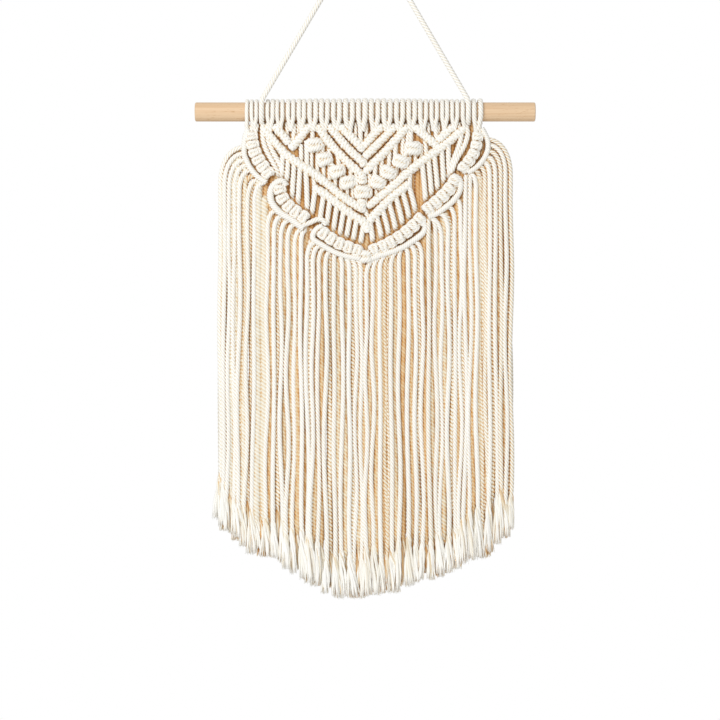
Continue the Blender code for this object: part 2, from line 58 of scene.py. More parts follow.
# %% Sizes and places
MM = 0.001
CORD = 4.0 * MM
LAY = 11.0 * MM  # length in which a ply goes once round the cord
TIGHT_LAY = 7.0 * MM  # the same where a knot bends and packs the cord
PLIES = 4
DOWEL_RADIUS = 7.0 * MM
DOWEL_Z = -128.4 * MM
FRONT_Y = -3.5 * MM


def place(x, drop, y=FRONT_Y):
    return np.array((x, y, DOWEL_Z - drop))


def route(rows, y=FRONT_Y):
    """Points on the front from rows of x and drop, in millimetres."""
    return [place(x * MM, drop * MM, y) for x, drop in rows]


# %% [markdown]
# ## A smooth path
#
# A cord has no corners. The points of each path are given where a cord really passes, and the
# path between them is a Catmull-Rom curve, which goes through every one of them. It is then
# measured off in even steps, so that the twist stays even too.

# %% Even steps along a smooth path
FINE_STEPS = 12  # from one given point to the next, before the even steps are measured off


def smooth_path(points, step):
    given = np.array(points, dtype=float)
    ends = np.vstack((2 * given[0] - given[1], given, 2 * given[-1] - given[-2]))
    t = (np.arange(FINE_STEPS) / FINE_STEPS)[:, None]
    fine = []
    for a, b, c, d in zip(ends, ends[1:], ends[2:], ends[3:]):
        fine.append((2 * b + (c - a) * t + (2 * a - 5 * b + 4 * c - d) * t ** 2
                     + (3 * b - a - 3 * c + d) * t ** 3) / 2)
    fine.append(given[-1][None])
    fine = np.vstack(fine)
    run = np.concatenate(((0,), np.cumsum(np.linalg.norm(np.diff(fine, axis=0), axis=1))))
    count = max(3, round(run[-1] / step))
    goals = np.linspace(0, run[-1], count + 1)
    return np.stack([np.interp(goals, run, fine[:, axis]) for axis in range(3)], axis=1)


def length_of(path):
    return float(np.linalg.norm(np.diff(path, axis=0), axis=1).sum())


def unit(vectors):
    return vectors / np.maximum(np.linalg.norm(vectors, axis=-1, keepdims=True), 1e-12)


print("a quarter turn of the lay is", LAY / PLIES / MM, "mm")

# %% [markdown]
# ## One cord
#
# A cord of four plies has a section with four lobes, which turns as it goes: in this cord the
# plies run down to the right, like the middle stroke of an S. Sweeping that section and
# turning it with the path gives real plies, which catch the light from any side. A curve
# with a round bevel could not do that, so the mesh is made here, ring by ring. The edges
# follow the plies, so few rings are needed. Each corner keeps its place round the cord and
# along it as a UV map, which the cotton's fibres follow later.

# %% Sweep a twisted cord
SECTION = np.array((0.74, 1.0, 1.0) * PLIES)  # radius at a groove and at a ply's two shoulders
SECTION_TURN = np.array([(p + s) / PLIES for p in range(PLIES) for s in (0.0, 0.30, 0.70)])
BACK_SECTION = np.array((0.80, 1.0) * PLIES)  # for cords that show only through gaps
BACK_TURN = np.arange(2 * PLIES) / (2 * PLIES)


def carried_frames(path):
    """Tangents and a side direction that turns no more than the path makes it."""
    tangents = unit(np.gradient(path, axis=0))
    start = np.array((0.0, 1.0, 0.0))
    if abs(tangents[0] @ start) > 0.9:
        start = np.array((1.0, 0.0, 0.0))
    sides = np.empty_like(path)
    side = start
    for index, tangent in enumerate(tangents):
        side = side - tangent * (side @ tangent)
        side = side / np.linalg.norm(side)
        sides[index] = side
    return tangents, sides


def sweep(path, radii, section, turns, twist, flat=None):
    """Rings of points round a path; flat is a direction and how thick the cord stays along it."""
    tangents, sides = carried_frames(path)
    others = np.cross(tangents, sides)
    angle = 2 * math.pi * turns[None, :] + twist[:, None]
    out = (np.cos(angle)[..., None] * sides[:, None] + np.sin(angle)[..., None] * others[:, None])
    if flat is not None:
        axis, share = flat
        along = (out @ axis)[..., None] * axis
        out = out - along * (1 - share)
    points = path[:, None] + out * (radii[:, None] * section[None, :])[..., None]
    return points, unit(out)


def skin(rings, around):
    """Quads between the rings, as numbers of their points."""
    first = np.arange(rings - 1)[:, None] * around + np.arange(around)[None, :]
    second = np.arange(rings - 1)[:, None] * around + (np.arange(around)[None, :] + 1) % around
    return np.stack((first, second, second + around, first + around), axis=-1).reshape(-1, 4)


print("section points:", len(SECTION))

# %% [markdown]
# ## Bundles
#
# Hundreds of cords would be hundreds of objects. They are gathered in bundles instead, one for
# each part of the hanging, and each bundle becomes one mesh at the end. Before that, all the
# bundles together tell how crowded each place is, which sets the shade painted into the cotton's hollows.

# %% A bundle gathers cords
UV_LENGTH = 10 * MM  # length of cord for each unit of V
UNDER_SURFACE = (0.35 * MM, 1.05 * MM)  # depths at which a cord is counted as solid cotton


class Bundle:
    """Cords that become one object: points, outward directions, faces and UVs."""

    def __init__(self, name, node, shade_weight):
        self.name = name
        self.node = node
        self.shade_weight = shade_weight
        self.points = []
        self.outward = []
        self.solid = []
        self.groove = []
        self.shade = []
        self.faces = []
        self.uvs = []
        self.caps = []
        self.count = 0

    def add(self, points, out, groove, run, shade=0.0, thickness=1.0):
        """Add one tube: its rings, and how much painted shade its grooves and its rings have."""
        rings, around = points.shape[:2]
        self.points.append(points.reshape(-1, 3))
        self.outward.append(out.reshape(-1, 3))
        for depth in UNDER_SURFACE:
            deeper = points - out * depth
            self.solid.append(deeper.reshape(-1, 3))
            self.solid.append(((deeper[:-1] + deeper[1:]) / 2).reshape(-1, 3))
        self.groove.append(np.broadcast_to(groove, (rings, around)).reshape(-1))
        self.shade.append(np.broadcast_to(np.reshape(shade, (-1, 1)), (rings, around)).reshape(-1))
        self.faces.append(skin(rings, around) + self.count)
        u = np.arange(around + 1) / around * thickness
        v = run / UV_LENGTH
        corner = np.empty((rings - 1, around, 4, 2))
        corner[..., (0, 3), 0] = u[None, :-1, None]
        corner[..., (1, 2), 0] = u[None, 1:, None]
        corner[..., (0, 1), 1] = v[:-1, None, None]
        corner[..., (2, 3), 1] = v[1:, None, None]
        self.uvs.append(corner.reshape(-1, 2))
        last = self.count + (rings - 1) * around
        self.caps.append((list(range(self.count + around - 1, self.count - 1, -1)), 0.0))
        self.caps.append((list(range(last, last + around)), float(v[-1])))
        self.count += rings * around


bundles = []


def new_bundle(name, node, shade_weight=0.9):
    """Start a bundle, with how strongly its crowded places get painted shade."""
    bundle = Bundle(name, node, shade_weight)
    bundles.append(bundle)
    return bundle


print("depths counted as cotton, mm:", [round(depth / MM, 2) for depth in UNDER_SURFACE])

# %% Lay one cord
GROOVE_BELOW = 0.9  # a point of the section nearer the middle than this lies in a groove
SEAM = 0.52  # how much painted shade a groove between two plies gets
BACK_SEAM = 0.3


def lay_cord(bundle, points, radius=CORD / 2, step=1.0 * MM, scale=None, flat=None, shade=0.0,
             back=False, squeeze=None, lay=LAY, seam=SEAM):
    """Lay one twisted cord of the bundle along the points."""
    path = smooth_path(points, step)
    run = np.linspace(0, length_of(path), len(path))
    twist = -2 * math.pi * run / lay + chance.uniform(0, math.pi)
    radii = np.full(len(path), radius)
    if scale is not None:
        radii = radii * np.interp(run / run[-1], *scale)
    section, turns = (BACK_SECTION, BACK_TURN) if back else (SECTION, SECTION_TURN)
    rings, out = sweep(path, radii, section, turns, twist, flat)
    if squeeze is not None:
        rings = squeeze(rings)
    # painted shade in the grooves between plies, less on a cord already shaded all over
    depth = (BACK_SEAM if back else seam) * (1 - max(shade, 0))
    groove = (section < GROOVE_BELOW).astype(float)[None, :] * depth
    bundle.add(rings, out, groove, run, shade=shade)
    return path


print("groove points in a section:", int((SECTION < GROOVE_BELOW).sum()))

# %% [markdown]
# ## The row of lark's heads
#
# Each cord is folded in half over the dowel, with its fold behind, so the front shows two
# wraps side by side. Forty wraps sit on the dowel, closer together towards the ends, with the
# hanging cord between the outer ones. Under the dowel the two wraps of a pair draw together
# into the knot below and leave a dark dot beside them.

# %% Sizes of the lark's heads
WRAP_GAP = 0.3 * MM
WRAP_AIR = 0.56 * MM  # the sliver of air between two wraps
WRAP_FLAT = 0.72  # how thick a wrap is against its width
WRAP_TURNS = range(-72, 205, 12)  # degrees, from under the dowel up behind it and down its front
WRAP_TAIL = (  # drop and y of the points under the dowel, and how far they are drawn to the partner
    (6.2, -7.0, 0.3), (9.0, -5.8, 0.85), (11.6, -4.6, 1.3), (14.2, -3.4, 1.5),
)
DRAWN_TOGETHER = 1.0 * MM
ROUND_AGAIN = 12.0 * MM  # the drop at which a flattened wrap is round again
ROUNDING = 6.0 * MM  # and the length over which it gets there
HEADINGS = [  # "crowding": how much closer wraps sit at the ends; "single": wraps before the pairs
    {"from": -88.5, "to": -78.2, "wraps": 3, "crowding": 0.0, "single": 1, "node": "left_upper_swag"},
    {"from": -73.6, "to": 73.2, "wraps": 35, "crowding": 0.115, "single": 0, "node": "knotted_panel"},
    {"from": 77.8, "to": 86.5, "wraps": 2, "crowding": 0.0, "single": 0, "node": "right_upper_swag"},
]
print("wraps:", sum(group["wraps"] for group in HEADINGS))

# %% One wrap
def wrap_edges(group):
    shares = np.linspace(0, 1, group["wraps"] + 1)
    shares = shares - group["crowding"] * np.sin(2 * math.pi * shares) / (2 * math.pi)
    return (group["from"] + (group["to"] - group["from"]) * shares) * MM


def lay_wrap(bundle, x, width, towards):
    radius = (width - WRAP_AIR) / 2 * chance.uniform(0.94, 1.05)
    x = x + chance.uniform(-0.25, 0.25) * MM
    ring = DOWEL_RADIUS + WRAP_GAP + radius * WRAP_FLAT
    lean = chance.uniform(-0.12, 0.12) * MM
    points = []
    for degrees in WRAP_TURNS:
        turn = math.radians(degrees)
        points.append(place(x + lean * math.sin(turn), -ring * math.sin(turn), ring * math.cos(turn)))
    for drop, deep, drawn in WRAP_TAIL:
        points.append(place(x + towards * drawn, drop * MM, deep * MM))

    def press(rings):
        """A tight cord lies flatter on the dowel than it is wide."""
        middle = rings.mean(axis=1, keepdims=True)
        radial = unit((middle - np.array((0, 0, DOWEL_Z))) * np.array((0, 1, 1)))
        height = ((rings - middle) * radial).sum(axis=-1, keepdims=True)
        held = np.clip((middle[..., 2:] - DOWEL_Z + ROUND_AGAIN) / ROUNDING, 0, 1)
        return rings - radial * height * (1 - WRAP_FLAT) * held

    lay_cord(bundle, points, radius, squeeze=press)


widths = [round(float(np.diff(wrap_edges(group)).mean()) / MM, 2) for group in HEADINGS]
print("mean width of a wrap, mm:", widths)

# %% Lay the lark's heads
heading = new_bundle("larks_heads", "knotted_panel")
left_sennit = new_bundle("left_upper_sennit", "left_upper_swag")
right_sennit = new_bundle("right_upper_sennit", "right_upper_swag")
by_node = {"knotted_panel": heading, "left_upper_swag": left_sennit, "right_upper_swag": right_sennit}
for group in HEADINGS:
    edges = wrap_edges(group)
    for index in range(group["wraps"]):
        middle = (edges[index] + edges[index + 1]) / 2
        partner = 1 if (index - group["single"]) % 2 == 0 else -1
        if index < group["single"]:
            partner = 0
        lay_wrap(by_node[group["node"]], middle, edges[index + 1] - edges[index],
                 partner * DRAWN_TOGETHER)
print("points in the row:", sum(bundle.count for bundle in bundles))

# %% [markdown]
# ## Bars of double half hitches
#
# A bar is a cord held straight while every other cord is hitched twice round it. From the
# front it is a row of tight rings, each a little flattened by its neighbours, with a rounded
# head where the held cord turns in. Each ring here is one turn of real cord round the bar.

# %% Where the bars lie
BARS = {  # x and drop of the points of each bar, from its upper end, in millimetres
    "inner_chevron_left": [(-17.8, 11.5), (-9.0, 20.0), (-2.2, 27.6)],
    "inner_chevron_right": [(11.8, 11.5), (6.0, 17.6), (0.0, 24.4)],
    "middle_chevron_left": [(-26.0, 11.3), (-16.4, 23.0), (-9.5, 30.2), (-2.8, 36.5)],
    "middle_chevron_right": [(21.4, 11.5), (12.0, 21.2), (7.0, 26.3), (0.6, 32.6)],
    "outer_chevron_left": [(-34.3, 11.3), (-28.5, 20.2), (-21.3, 28.6), (-13.5, 36.6), (-6.0, 43.6),
                           (-1.8, 47.0)],
    "outer_chevron_right": [(30.4, 11.5), (16.6, 27.4), (3.0, 41.2), (0.6, 43.8)],
    "small_left_outer": [(-66.0, 11.5), (-60.6, 17.6), (-56.8, 22.2)],
    "small_left_inner": [(-42.1, 11.5), (-48.2, 19.6), (-54.0, 26.2)],
    "small_right_inner": [(36.9, 11.8), (45.2, 19.0), (52.8, 25.0)],
    "small_right_outer": [(64.0, 11.8), (58.6, 16.6), (54.4, 20.6)],
    "long_left": [(-74.0, 13.6), (-66.2, 22.8), (-56.8, 32.9), (-41.6, 43.0),
                  (-30.3, 51.4), (-19.1, 60.9), (-9.7, 67.2), (-1.6, 72.2)],
    "long_right": [(72.6, 13.0), (69.6, 15.1), (55.8, 26.7), (44.3, 34.7),
                   (32.7, 43.6), (21.9, 53.4), (11.3, 62.3), (3.0, 69.0)],
    "lower_left": [(-36.6, 56.5), (-29.5, 60.6), (-22.5, 65.9), (-10.9, 74.7),
                   (0.6, 82.7), (1.5, 87.2)],
    "lower_right": [(31.8, 53.4), (20.2, 62.3), (11.3, 71.2), (3.8, 79.5)],
}
print("bars:", len(BARS))

# %% One bar
HITCH = 3.1 * MM  # from one ring to the next
HITCH_CORD = 2.6 * MM
BAR_ACROSS = 3.9 * MM  # half the bar's width
BAR_DEEP = 3.45 * MM
RING_TURNS = range(-20, 381, 25)  # degrees: a ring starts and ends behind its bar
CORE = 3.3 * MM  # the held cord
CORE_REACH = 2.0 * MM  # how far its two heads stand out of the rings
CORE_ENDS = ((0, 0.03, 0.07, 0.93, 0.97, 1), (0.6, 0.95, 1, 1, 0.95, 0.6))
CORE_SHADE = -0.3  # less painted shade: the heads stand free, so they are painted paler
TOWARDS = np.array((0.0, -1.0, 0.0))  # out of the front
# painted shade: a little in a ring's grooves and a little over the whole ring
RING_LOOK = {"step": 0.9 * MM, "lay": TIGHT_LAY, "shade": 0.1, "seam": 0.46}


def rounder_square(value):
    """A sine or cosine pulled towards the corners of a square."""
    return math.copysign(abs(value) ** 0.6, value)


def lay_ring(bundle, centre, along, size, lean, slide):
    """One turn of cord round a bar."""
    side = unit(np.cross(along, TOWARDS))
    cord = HITCH_CORD * min(size, 1.0)
    across = BAR_ACROSS * size - cord
    deep = BAR_DEEP * size - cord
    points = []
    for degrees in RING_TURNS:
        turn = math.radians(degrees)
        shift = slide * (degrees - 180) / 180 + lean * math.cos(turn)
        points.append(centre + side * across * rounder_square(math.sin(turn))
                      - TOWARDS * deep * rounder_square(math.cos(turn)) + along * shift)
    lay_cord(bundle, points, cord, **RING_LOOK)


def lay_bar(bundle, rows):
    path = smooth_path(route(rows), 0.4 * MM)
    count = max(3, round(length_of(path) / HITCH))
    tangents = unit(np.gradient(path, axis=0))
    for index in range(count):
        at = int((index + 0.5) / count * (len(path) - 1))
        size = 0.97 if index in (0, count - 1) else chance.uniform(0.98, 1.03)
        lean = chance.uniform(-0.25, 0.25) * MM
        slide = chance.uniform(0.1, 0.35) * MM
        lay_ring(bundle, path[at], tangents[at], size, lean, slide)
    core = np.vstack((path[0] - tangents[0] * CORE_REACH, path[::6], path[-1] + tangents[-1] * CORE_REACH))
    lay_cord(bundle, core, CORE, scale=CORE_ENDS, flat=(TOWARDS, 0.87), shade=CORE_SHADE)


print("a bar is", 2 * BAR_ACROSS / MM, "mm wide and", 2 * BAR_DEEP / MM, "mm deep")

# %% Lay the bars
bars = new_bundle("hitched_bars", "knotted_panel", shade_weight=1.05)
for rows in BARS.values():
    lay_bar(bars, rows)
print("points in the bars:", bars.count)

# %% [markdown]
# ## Square knots
#
# In a square knot two cords cross in front of two still ones, first from one side and then
# from the other. What shows is an oval: two short bars side by side, joined by a bump at
# each edge. That front is laid cord by cord. The back of a knot hardly shows, so there one
# thicker cord stands for the two that cross it, and the still cords lie in between.

# %% One square knot
CROSSING = (  # across the knot, and how far out of its middle the cord lies there
    (-1.0, -1.3), (-0.92, -0.2), (-0.62, 0.75), (-0.3, 0.97), (0, 1.0),
    (0.3, 0.97), (0.62, 0.75), (0.92, -0.2), (1.0, -1.3),
)
CROSSING_BEHIND = ((-0.9, 0.1), (-0.5, 0.75), (0, 0.85), (0.5, 0.75), (0.9, 0.1))
TUCKED = -0.9  # how far in the ends of a bump lie
CROSSING_CORD = 0.52  # radius of a crossing cord against the knot's half length
KNOT_STEP = 0.95 * MM
# painted shade: a little in the grooves of a crossing cord, and a trace over all of it
CROSSING_LOOK = {"step": KNOT_STEP, "lay": TIGHT_LAY, "shade": 0.02, "seam": 0.4}
BEHIND_CORD = 2.6 * MM
INSIDE_EDGE = 1.4 * MM  # how far from the knot's edge the cord behind ends
STILL_CORD = 1.6 * MM
DOWN = np.array((0.0, 0.0, -1.0))


def lay_knot(bundle, centre, along, half_width, half_length, deep=1.9 * MM, bumps=(1.45, 1.45)):
    """The cords that cross in front and behind, a bump at each edge, and the still cords."""
    side = unit(np.cross(along, TOWARDS))
    cord = half_length * CROSSING_CORD
    reach = half_width - INSIDE_EDGE
    slant = chance.uniform(0.25, 0.8) * MM
    left, right = (half_width - 1.2 * bump * MM for bump in bumps)
    for row in (1, -1):
        points = []
        for u, lift in CROSSING:
            over = (left - right) / 2 + u * (left + right) / 2
            points.append(centre + side * over + TOWARDS * deep * lift
                          + along * row * (half_length - cord) + along * slant * u * row)
        lay_cord(bundle, points, cord, **CROSSING_LOOK)
    for hand, thick in zip((1, -1), bumps):
        edge = thick * MM
        rise = (edge - 0.9 * MM) / deep
        points = []
        for v, lift, out in ((-1.0, TUCKED, 0.62), (-0.72, rise * 0.4, 0.9), (-0.3, rise, 1.0),
                             (0.2, rise, 1.0), (0.66, rise * 0.5, 0.92), (1.0, TUCKED, 0.62)):
            points.append(centre + side * hand * (half_width - edge) * out + TOWARDS * deep * lift
                          + along * v * half_length * 0.9)
        lay_cord(bundle, points, edge, step=KNOT_STEP)
    slot = [centre + side * u * reach + TOWARDS * (deep - 0.1 * MM) for u in (-0.75, -0.3, 0.3, 0.75)]
    # the thin cord in the slot gets painted shade, so that the slot reads dark
    lay_cord(bundle, slot, cord / 2, shade=0.2)
    behind = [centre + side * u * reach - TOWARDS * deep * lift for u, lift in CROSSING_BEHIND]
    lay_cord(bundle, behind, min(half_length * 0.8, BEHIND_CORD), step=1.2 * MM)
    end = along * half_length * 1.1
    for share in (-0.3, 0.3):
        still = centre + side * half_width * share
        lay_cord(bundle, [still - end, still, still + end], STILL_CORD)


print("in a knot 10 mm long a crossing cord is", round(10 * CROSSING_CORD, 1), "mm thick")

# %% Lay the square knots
KNOTS = [  # x, drop, half width, half length, lean of its axis in degrees
    (-37.1, 24.8, 6.6, 5.0, 6),
    (-29.8, 35.2, 6.2, 4.7, 14),
    (-20.5, 44.1, 6.2, 4.7, 16),
    (-12.4, 52.0, 6.2, 4.7, 12),
    (-1.5, 59.4, 7.0, 5.0, 0),
    (35.0, 27.2, 6.7, 5.0, -4),
    (26.1, 37.2, 6.6, 4.9, -12),
    (17.1, 45.2, 6.5, 4.9, -14),
    (9.4, 52.2, 6.2, 4.8, -14),
]
KNOBS = [  # small upright ones: x, drop, half width, half length
    (-1.4, 38.0, 3.2, 3.0), (-2.0, 50.6, 3.7, 3.4), (-2.0, 67.4, 3.8, 3.4), (0.6, 106.6, 5.4, 4.6),
]
KNOT_BUMPS = (1.95, 1.6)  # radius of the left and the right bump of a large knot, in millimetres
knots = new_bundle("square_knots", "knotted_panel", shade_weight=1.05)
for x, drop, half_width, half_length, lean in KNOTS:
    along = np.array((math.sin(math.radians(lean)), 0.0, -math.cos(math.radians(lean))))
    lay_knot(knots, place(x * MM, drop * MM), along, half_width * MM, half_length * MM,
             bumps=KNOT_BUMPS)
for x, drop, half_width, half_length in KNOBS:
    lay_knot(knots, place(x * MM, drop * MM), DOWN, half_width * MM, half_length * MM)
print("square knots:", len(KNOTS) + len(KNOBS))

# %% [markdown]
# ## The strands between the knots
#
# Between bars and knots the cords simply run on. Short ones join a bar to a knot. Thinner legs
# lie a little further back beside the knots, and small dark holes stay open between them.

# %% Where the short strands run
STRANDS = [  # x and drop of the top, x and drop of the bottom, in millimetres
    (-70.5, 8.0, -70.0, 19.0), (-52.0, 9.0, -53.0, 23.5), (-47.2, 24.0, -47.0, 38.5),
    (-43.2, 21.5, -43.0, 41.5), (-39.0, 9.0, -38.5, 24.0), (-34.5, 28.0, -30.5, 33.0),
    (-25.8, 38.0, -21.5, 42.0), (-16.0, 47.0, -13.0, 50.5), (-8.5, 55.0, -4.5, 58.0),
    (-4.2, 62.0, -4.2, 69.0), (-1.8, 44.5, -1.8, 56.0), (-1.6, 69.0, 3.0, 80.0),
    (-3.5, 9.0, -3.0, 26.0), (33.5, 9.0, 33.5, 24.0), (44.0, 20.0, 45.0, 33.0),
    (31.5, 29.0, 27.0, 35.5), (21.0, 41.5, 17.5, 45.0), (12.0, 50.0, 3.0, 57.0),
    (52.0, 9.0, 52.5, 22.0), (69.0, 8.0, 69.0, 16.0), (-38.0, 45.0, -37.2, 57.0),
    (33.0, 44.0, 32.5, 54.0), (-31.6, 18.0, -31.4, 32.0), (-26.5, 26.0, -26.4, 32.0),
    (-19.9, 33.0, -19.6, 41.0), (-16.2, 37.0, -15.8, 43.0), (-10.6, 42.0, -10.4, 50.0),
    (-6.6, 46.0, -6.2, 56.0), (3.4, 46.0, 3.2, 58.0), (27.6, 17.0, 27.4, 35.0),
    (22.4, 22.0, 22.2, 35.0), (17.6, 27.0, 17.4, 45.0), (12.0, 33.0, 11.8, 45.0),
    (7.4, 38.0, 7.2, 50.0), (31.6, 12.0, 31.4, 24.0),
]
LEGS = [  # thinner ones, set back: x, then the drops of the top and the bottom
    (-39.4, 27.0, 45.0), (-35.1, 28.0, 48.0), (-30.6, 38.0, 51.5), (-26.2, 39.0, 55.0),
    (-21.9, 41.0, 58.0), (-17.6, 47.0, 61.0), (-13.4, 49.0, 63.5), (-9.2, 56.0, 68.0),
    (-5.4, 58.0, 70.0), (41.3, 24.0, 36.0), (36.7, 29.0, 40.5), (32.4, 33.0, 45.0), (28.0, 36.0, 49.0),
    (23.5, 41.0, 52.0), (19.3, 44.0, 56.0), (15.0, 48.0, 59.0), (10.8, 50.0, 62.0), (8.2, 51.0, 63.0),
    (3.8, 46.0, 58.0), (-57.6, 8.0, 22.0), (-49.2, 8.0, 21.0), (-7.2, 8.0, 22.0), (0.9, 8.0, 24.0),
    (46.4, 8.0, 20.0), (54.0, 8.0, 22.0), (33.6, 15.0, 24.0),
]
OUTER_LEGS = {  # x and drop of the two ends of each strand under the outermost wraps
    "left_upper": [[(-87.0, 9.0), (-85.0, 20.0)], [(-83.0, 9.0), (-84.4, 20.0)],
                   [(-79.4, 9.0), (-81.4, 20.0)]],
    "right_upper": [[(83.6, 9.0), (84.4, 20.0)], [(81.0, 9.0), (81.6, 20.0)]],
}
print("short strands:", len(STRANDS) + len(LEGS))

# %% Lay the short strands
STRAND_RADIUS = 1.9 * MM
LEG_RADIUS = 1.55 * MM
LEG_Y = FRONT_Y + 1.1 * MM
LAYER = 0.55  # short strands lie in three layers, this many millimetres apart
strands = new_bundle("panel_strands", "knotted_panel")


def lay_short(x1, drop1, x2, drop2, y, radius):
    """A short strand that bows a little to one side."""
    middle = place((x1 + x2) / 2 * MM + chance.uniform(-0.3, 0.3) * MM, (drop1 + drop2) / 2 * MM, y)
    lay_cord(strands, [place(x1 * MM, drop1 * MM, y), middle, place(x2 * MM, drop2 * MM, y)], radius)


for number, row in enumerate(STRANDS):
    lay_short(*row, FRONT_Y + (number % 3) * LAYER * MM, STRAND_RADIUS)
for x, top, bottom in LEGS:
    lay_short(x, top, x, bottom, LEG_Y, LEG_RADIUS)
print("points in the short strands:", strands.count)

# %% [markdown]
# ## Where the swags hang
#
# A swag has a band of knots and a rope along its outer edge. Both are drawn first, as lines on
# the front, because the strands above have to know where a band is before they can pass behind
# it. The joint of one swag is a cord that leads over from the swag beside it.

# %% The swags' paths
SWAG_Y = -4.0 * MM
# "band", "rope" and "joint" are x and drop in millimetres. "half_width" is half the band's width
# at its start and at its end. "strands" are the numbers of the first and last strand of its
# fringe, "behind" those with another one behind them, and "from" says where on the rope they start.
SWAGS = {
    "left_upper": {
        "rope_radius": 2.3,
        "half_width": (4.6, 4.9),
        "band": [(-83.6, 15.5), (-83.2, 20.5), (-81.3, 29.1), (-77.1, 37.5), (-72.9, 43.2),
                 (-69.4, 48.2)],
        "rope": [(-85.8, 13.0), (-88.2, 20.0), (-88.8, 30.5), (-87.1, 36.1), (-84.2, 41.8),
                 (-79.4, 47.4), (-72.4, 52.2)],
        "strands": (0, 7), "behind": (1, 4, 6), "from": 0.29},
    "left_middle": {
        "rope_radius": 2.8,
        "half_width": (4.7, 4.7),
        "band": [(-63.3, 54.4), (-61.8, 61.3), (-58.5, 67.2), (-53.4, 72.0), (-47.9, 75.6),
                 (-42.6, 79.7)],
        "rope": [(-58.0, 55.0), (-60.8, 51.4), (-65.2, 52.6), (-68.6, 56.6), (-69.6, 61.8),
                 (-68.6, 66.8), (-65.0, 71.9), (-60.4, 75.6), (-54.8, 78.9), (-49.3, 83.0),
                 (-45.2, 86.2)],
        "strands": (8, 13), "behind": (10,), "from": 0.46},
    "left_lower": {
        "rope_radius": 2.3,
        "joint": [(-46.0, 83.6), (-40.5, 81.6), (-34.7, 79.2), (-31.0, 80.0), (-29.0, 84.0)],
        "half_width": (4.6, 4.3),
        "band": [(-33.0, 87.6), (-27.4, 91.8), (-21.4, 95.8), (-14.8, 98.7), (-8.2, 101.3),
                 (-2.6, 103.4)],
        "rope": [(-31.0, 84.0), (-35.0, 86.0), (-38.0, 89.6), (-38.2, 93.6), (-34.2, 96.6),
                 (-29.4, 99.4), (-24.2, 102.4), (-18.3, 104.9), (-11.9, 106.6), (-3.4, 107.9)],
        "strands": (14, 23), "behind": (15, 18, 21), "from": 0.3},
    "right_lower": {
        "rope_radius": 2.4,
        "half_width": (4.6, 4.3),
        "band": [(42.2, 76.8), (38.0, 81.6), (32.5, 86.6), (27.0, 91.0), (21.1, 94.7), (14.5, 98.4),
                 (8.2, 101.0), (3.4, 103.0)],
        "rope": [(39.9, 80.4), (43.9, 84.1), (42.8, 88.6), (38.8, 92.4), (33.6, 96.0),
                 (28.5, 99.2), (22.6, 101.8), (16.7, 103.8), (10.9, 105.6), (3.8, 108.2)],
        "strands": (24, 34), "behind": (27, 31), "from": 0.36},
    "right_middle": {
        "rope_radius": 2.4,
        "half_width": (4.7, 4.7),
        "band": [(67.6, 48.2), (63.7, 54.5), (59.7, 59.5), (54.9, 64.2), (50.1, 68.6),
                 (43.4, 74.0)],
        "rope": [(64.0, 47.0), (68.9, 49.6), (70.2, 54.3), (68.7, 59.8), (65.0, 65.0),
                 (60.8, 68.8), (55.9, 72.5), (51.1, 75.5), (46.0, 77.5)],
        "strands": (35, 40), "behind": (36, 38), "from": 0.46},
    "right_upper": {
        "rope_radius": 2.1,
        "half_width": (4.0, 4.2),
        "band": [(82.9, 15.5), (82.5, 20.0), (80.8, 28.0), (78.7, 32.6), (76.2, 36.4),
                 (72.7, 40.6), (70.4, 44.4)],
        "rope": [(85.6, 12.5), (88.9, 18.7), (90.2, 23.1), (89.8, 28.7), (87.8, 33.6),
                 (84.3, 38.4), (79.7, 42.4), (75.0, 45.2)],
        "strands": (41, 48), "behind": (42, 44, 47), "from": 0.22},
}
print("swags:", list(SWAGS))

# %% Measure the bands
def front_path(rows, y):
    return smooth_path(route(rows, y), 0.5 * MM)


band_paths = {name: front_path(swag["band"], 0.0) for name, swag in SWAGS.items()}
print("bands, mm long:", [round(length_of(path) / MM) for path in band_paths.values()])

# %% [markdown]
# ## Strands that pass behind the swags
#
# A row of cords leaves the long bars and hangs down until the band of a swag covers it. Each
# one is laid towards a place under that band, slips back as it comes near, and ends where the
# band hides it. Four thicker ones beside the upper swags do the same.

# %% Where the hanging strands run
HANGING = [  # x and drop of the root, then of the place a strand runs towards, in millimetres
    (-60.6, 29.0, -61.4, 60.0), (-56.4, 33.0, -58.0, 70.0),
    (-52.0, 37.0, -53.7, 74.0), (-47.7, 40.0, -49.4, 78.0), (-43.6, 43.0, -42.4, 81.0),
    (-36.6, 56.5, -39.6, 88.0), (-30.5, 62.0, -33.6, 90.0), (-25.5, 64.0, -28.6, 94.0),
    (-20.5, 68.0, -23.6, 98.0), (-15.5, 71.5, -19.0, 101.0), (-10.5, 75.0, -14.3, 104.0),
    (-6.0, 78.5, -9.4, 106.0), (-1.0, 82.0, -4.0, 108.0),
    (60.8, 23.0, 61.6, 58.0), (56.0, 27.0, 57.8, 64.0), (50.5, 31.0, 53.5, 70.0),
    (46.3, 34.5, 49.0, 74.0), (41.9, 38.5, 44.6, 78.0), (31.8, 54.0, 37.8, 84.0),
    (27.0, 58.0, 33.0, 88.0), (22.2, 62.0, 28.0, 92.0), (17.2, 66.5, 23.0, 96.0),
    (12.5, 71.5, 18.0, 100.0), (8.0, 76.0, 12.8, 103.0), (3.6, 81.0, 6.0, 104.0),
]
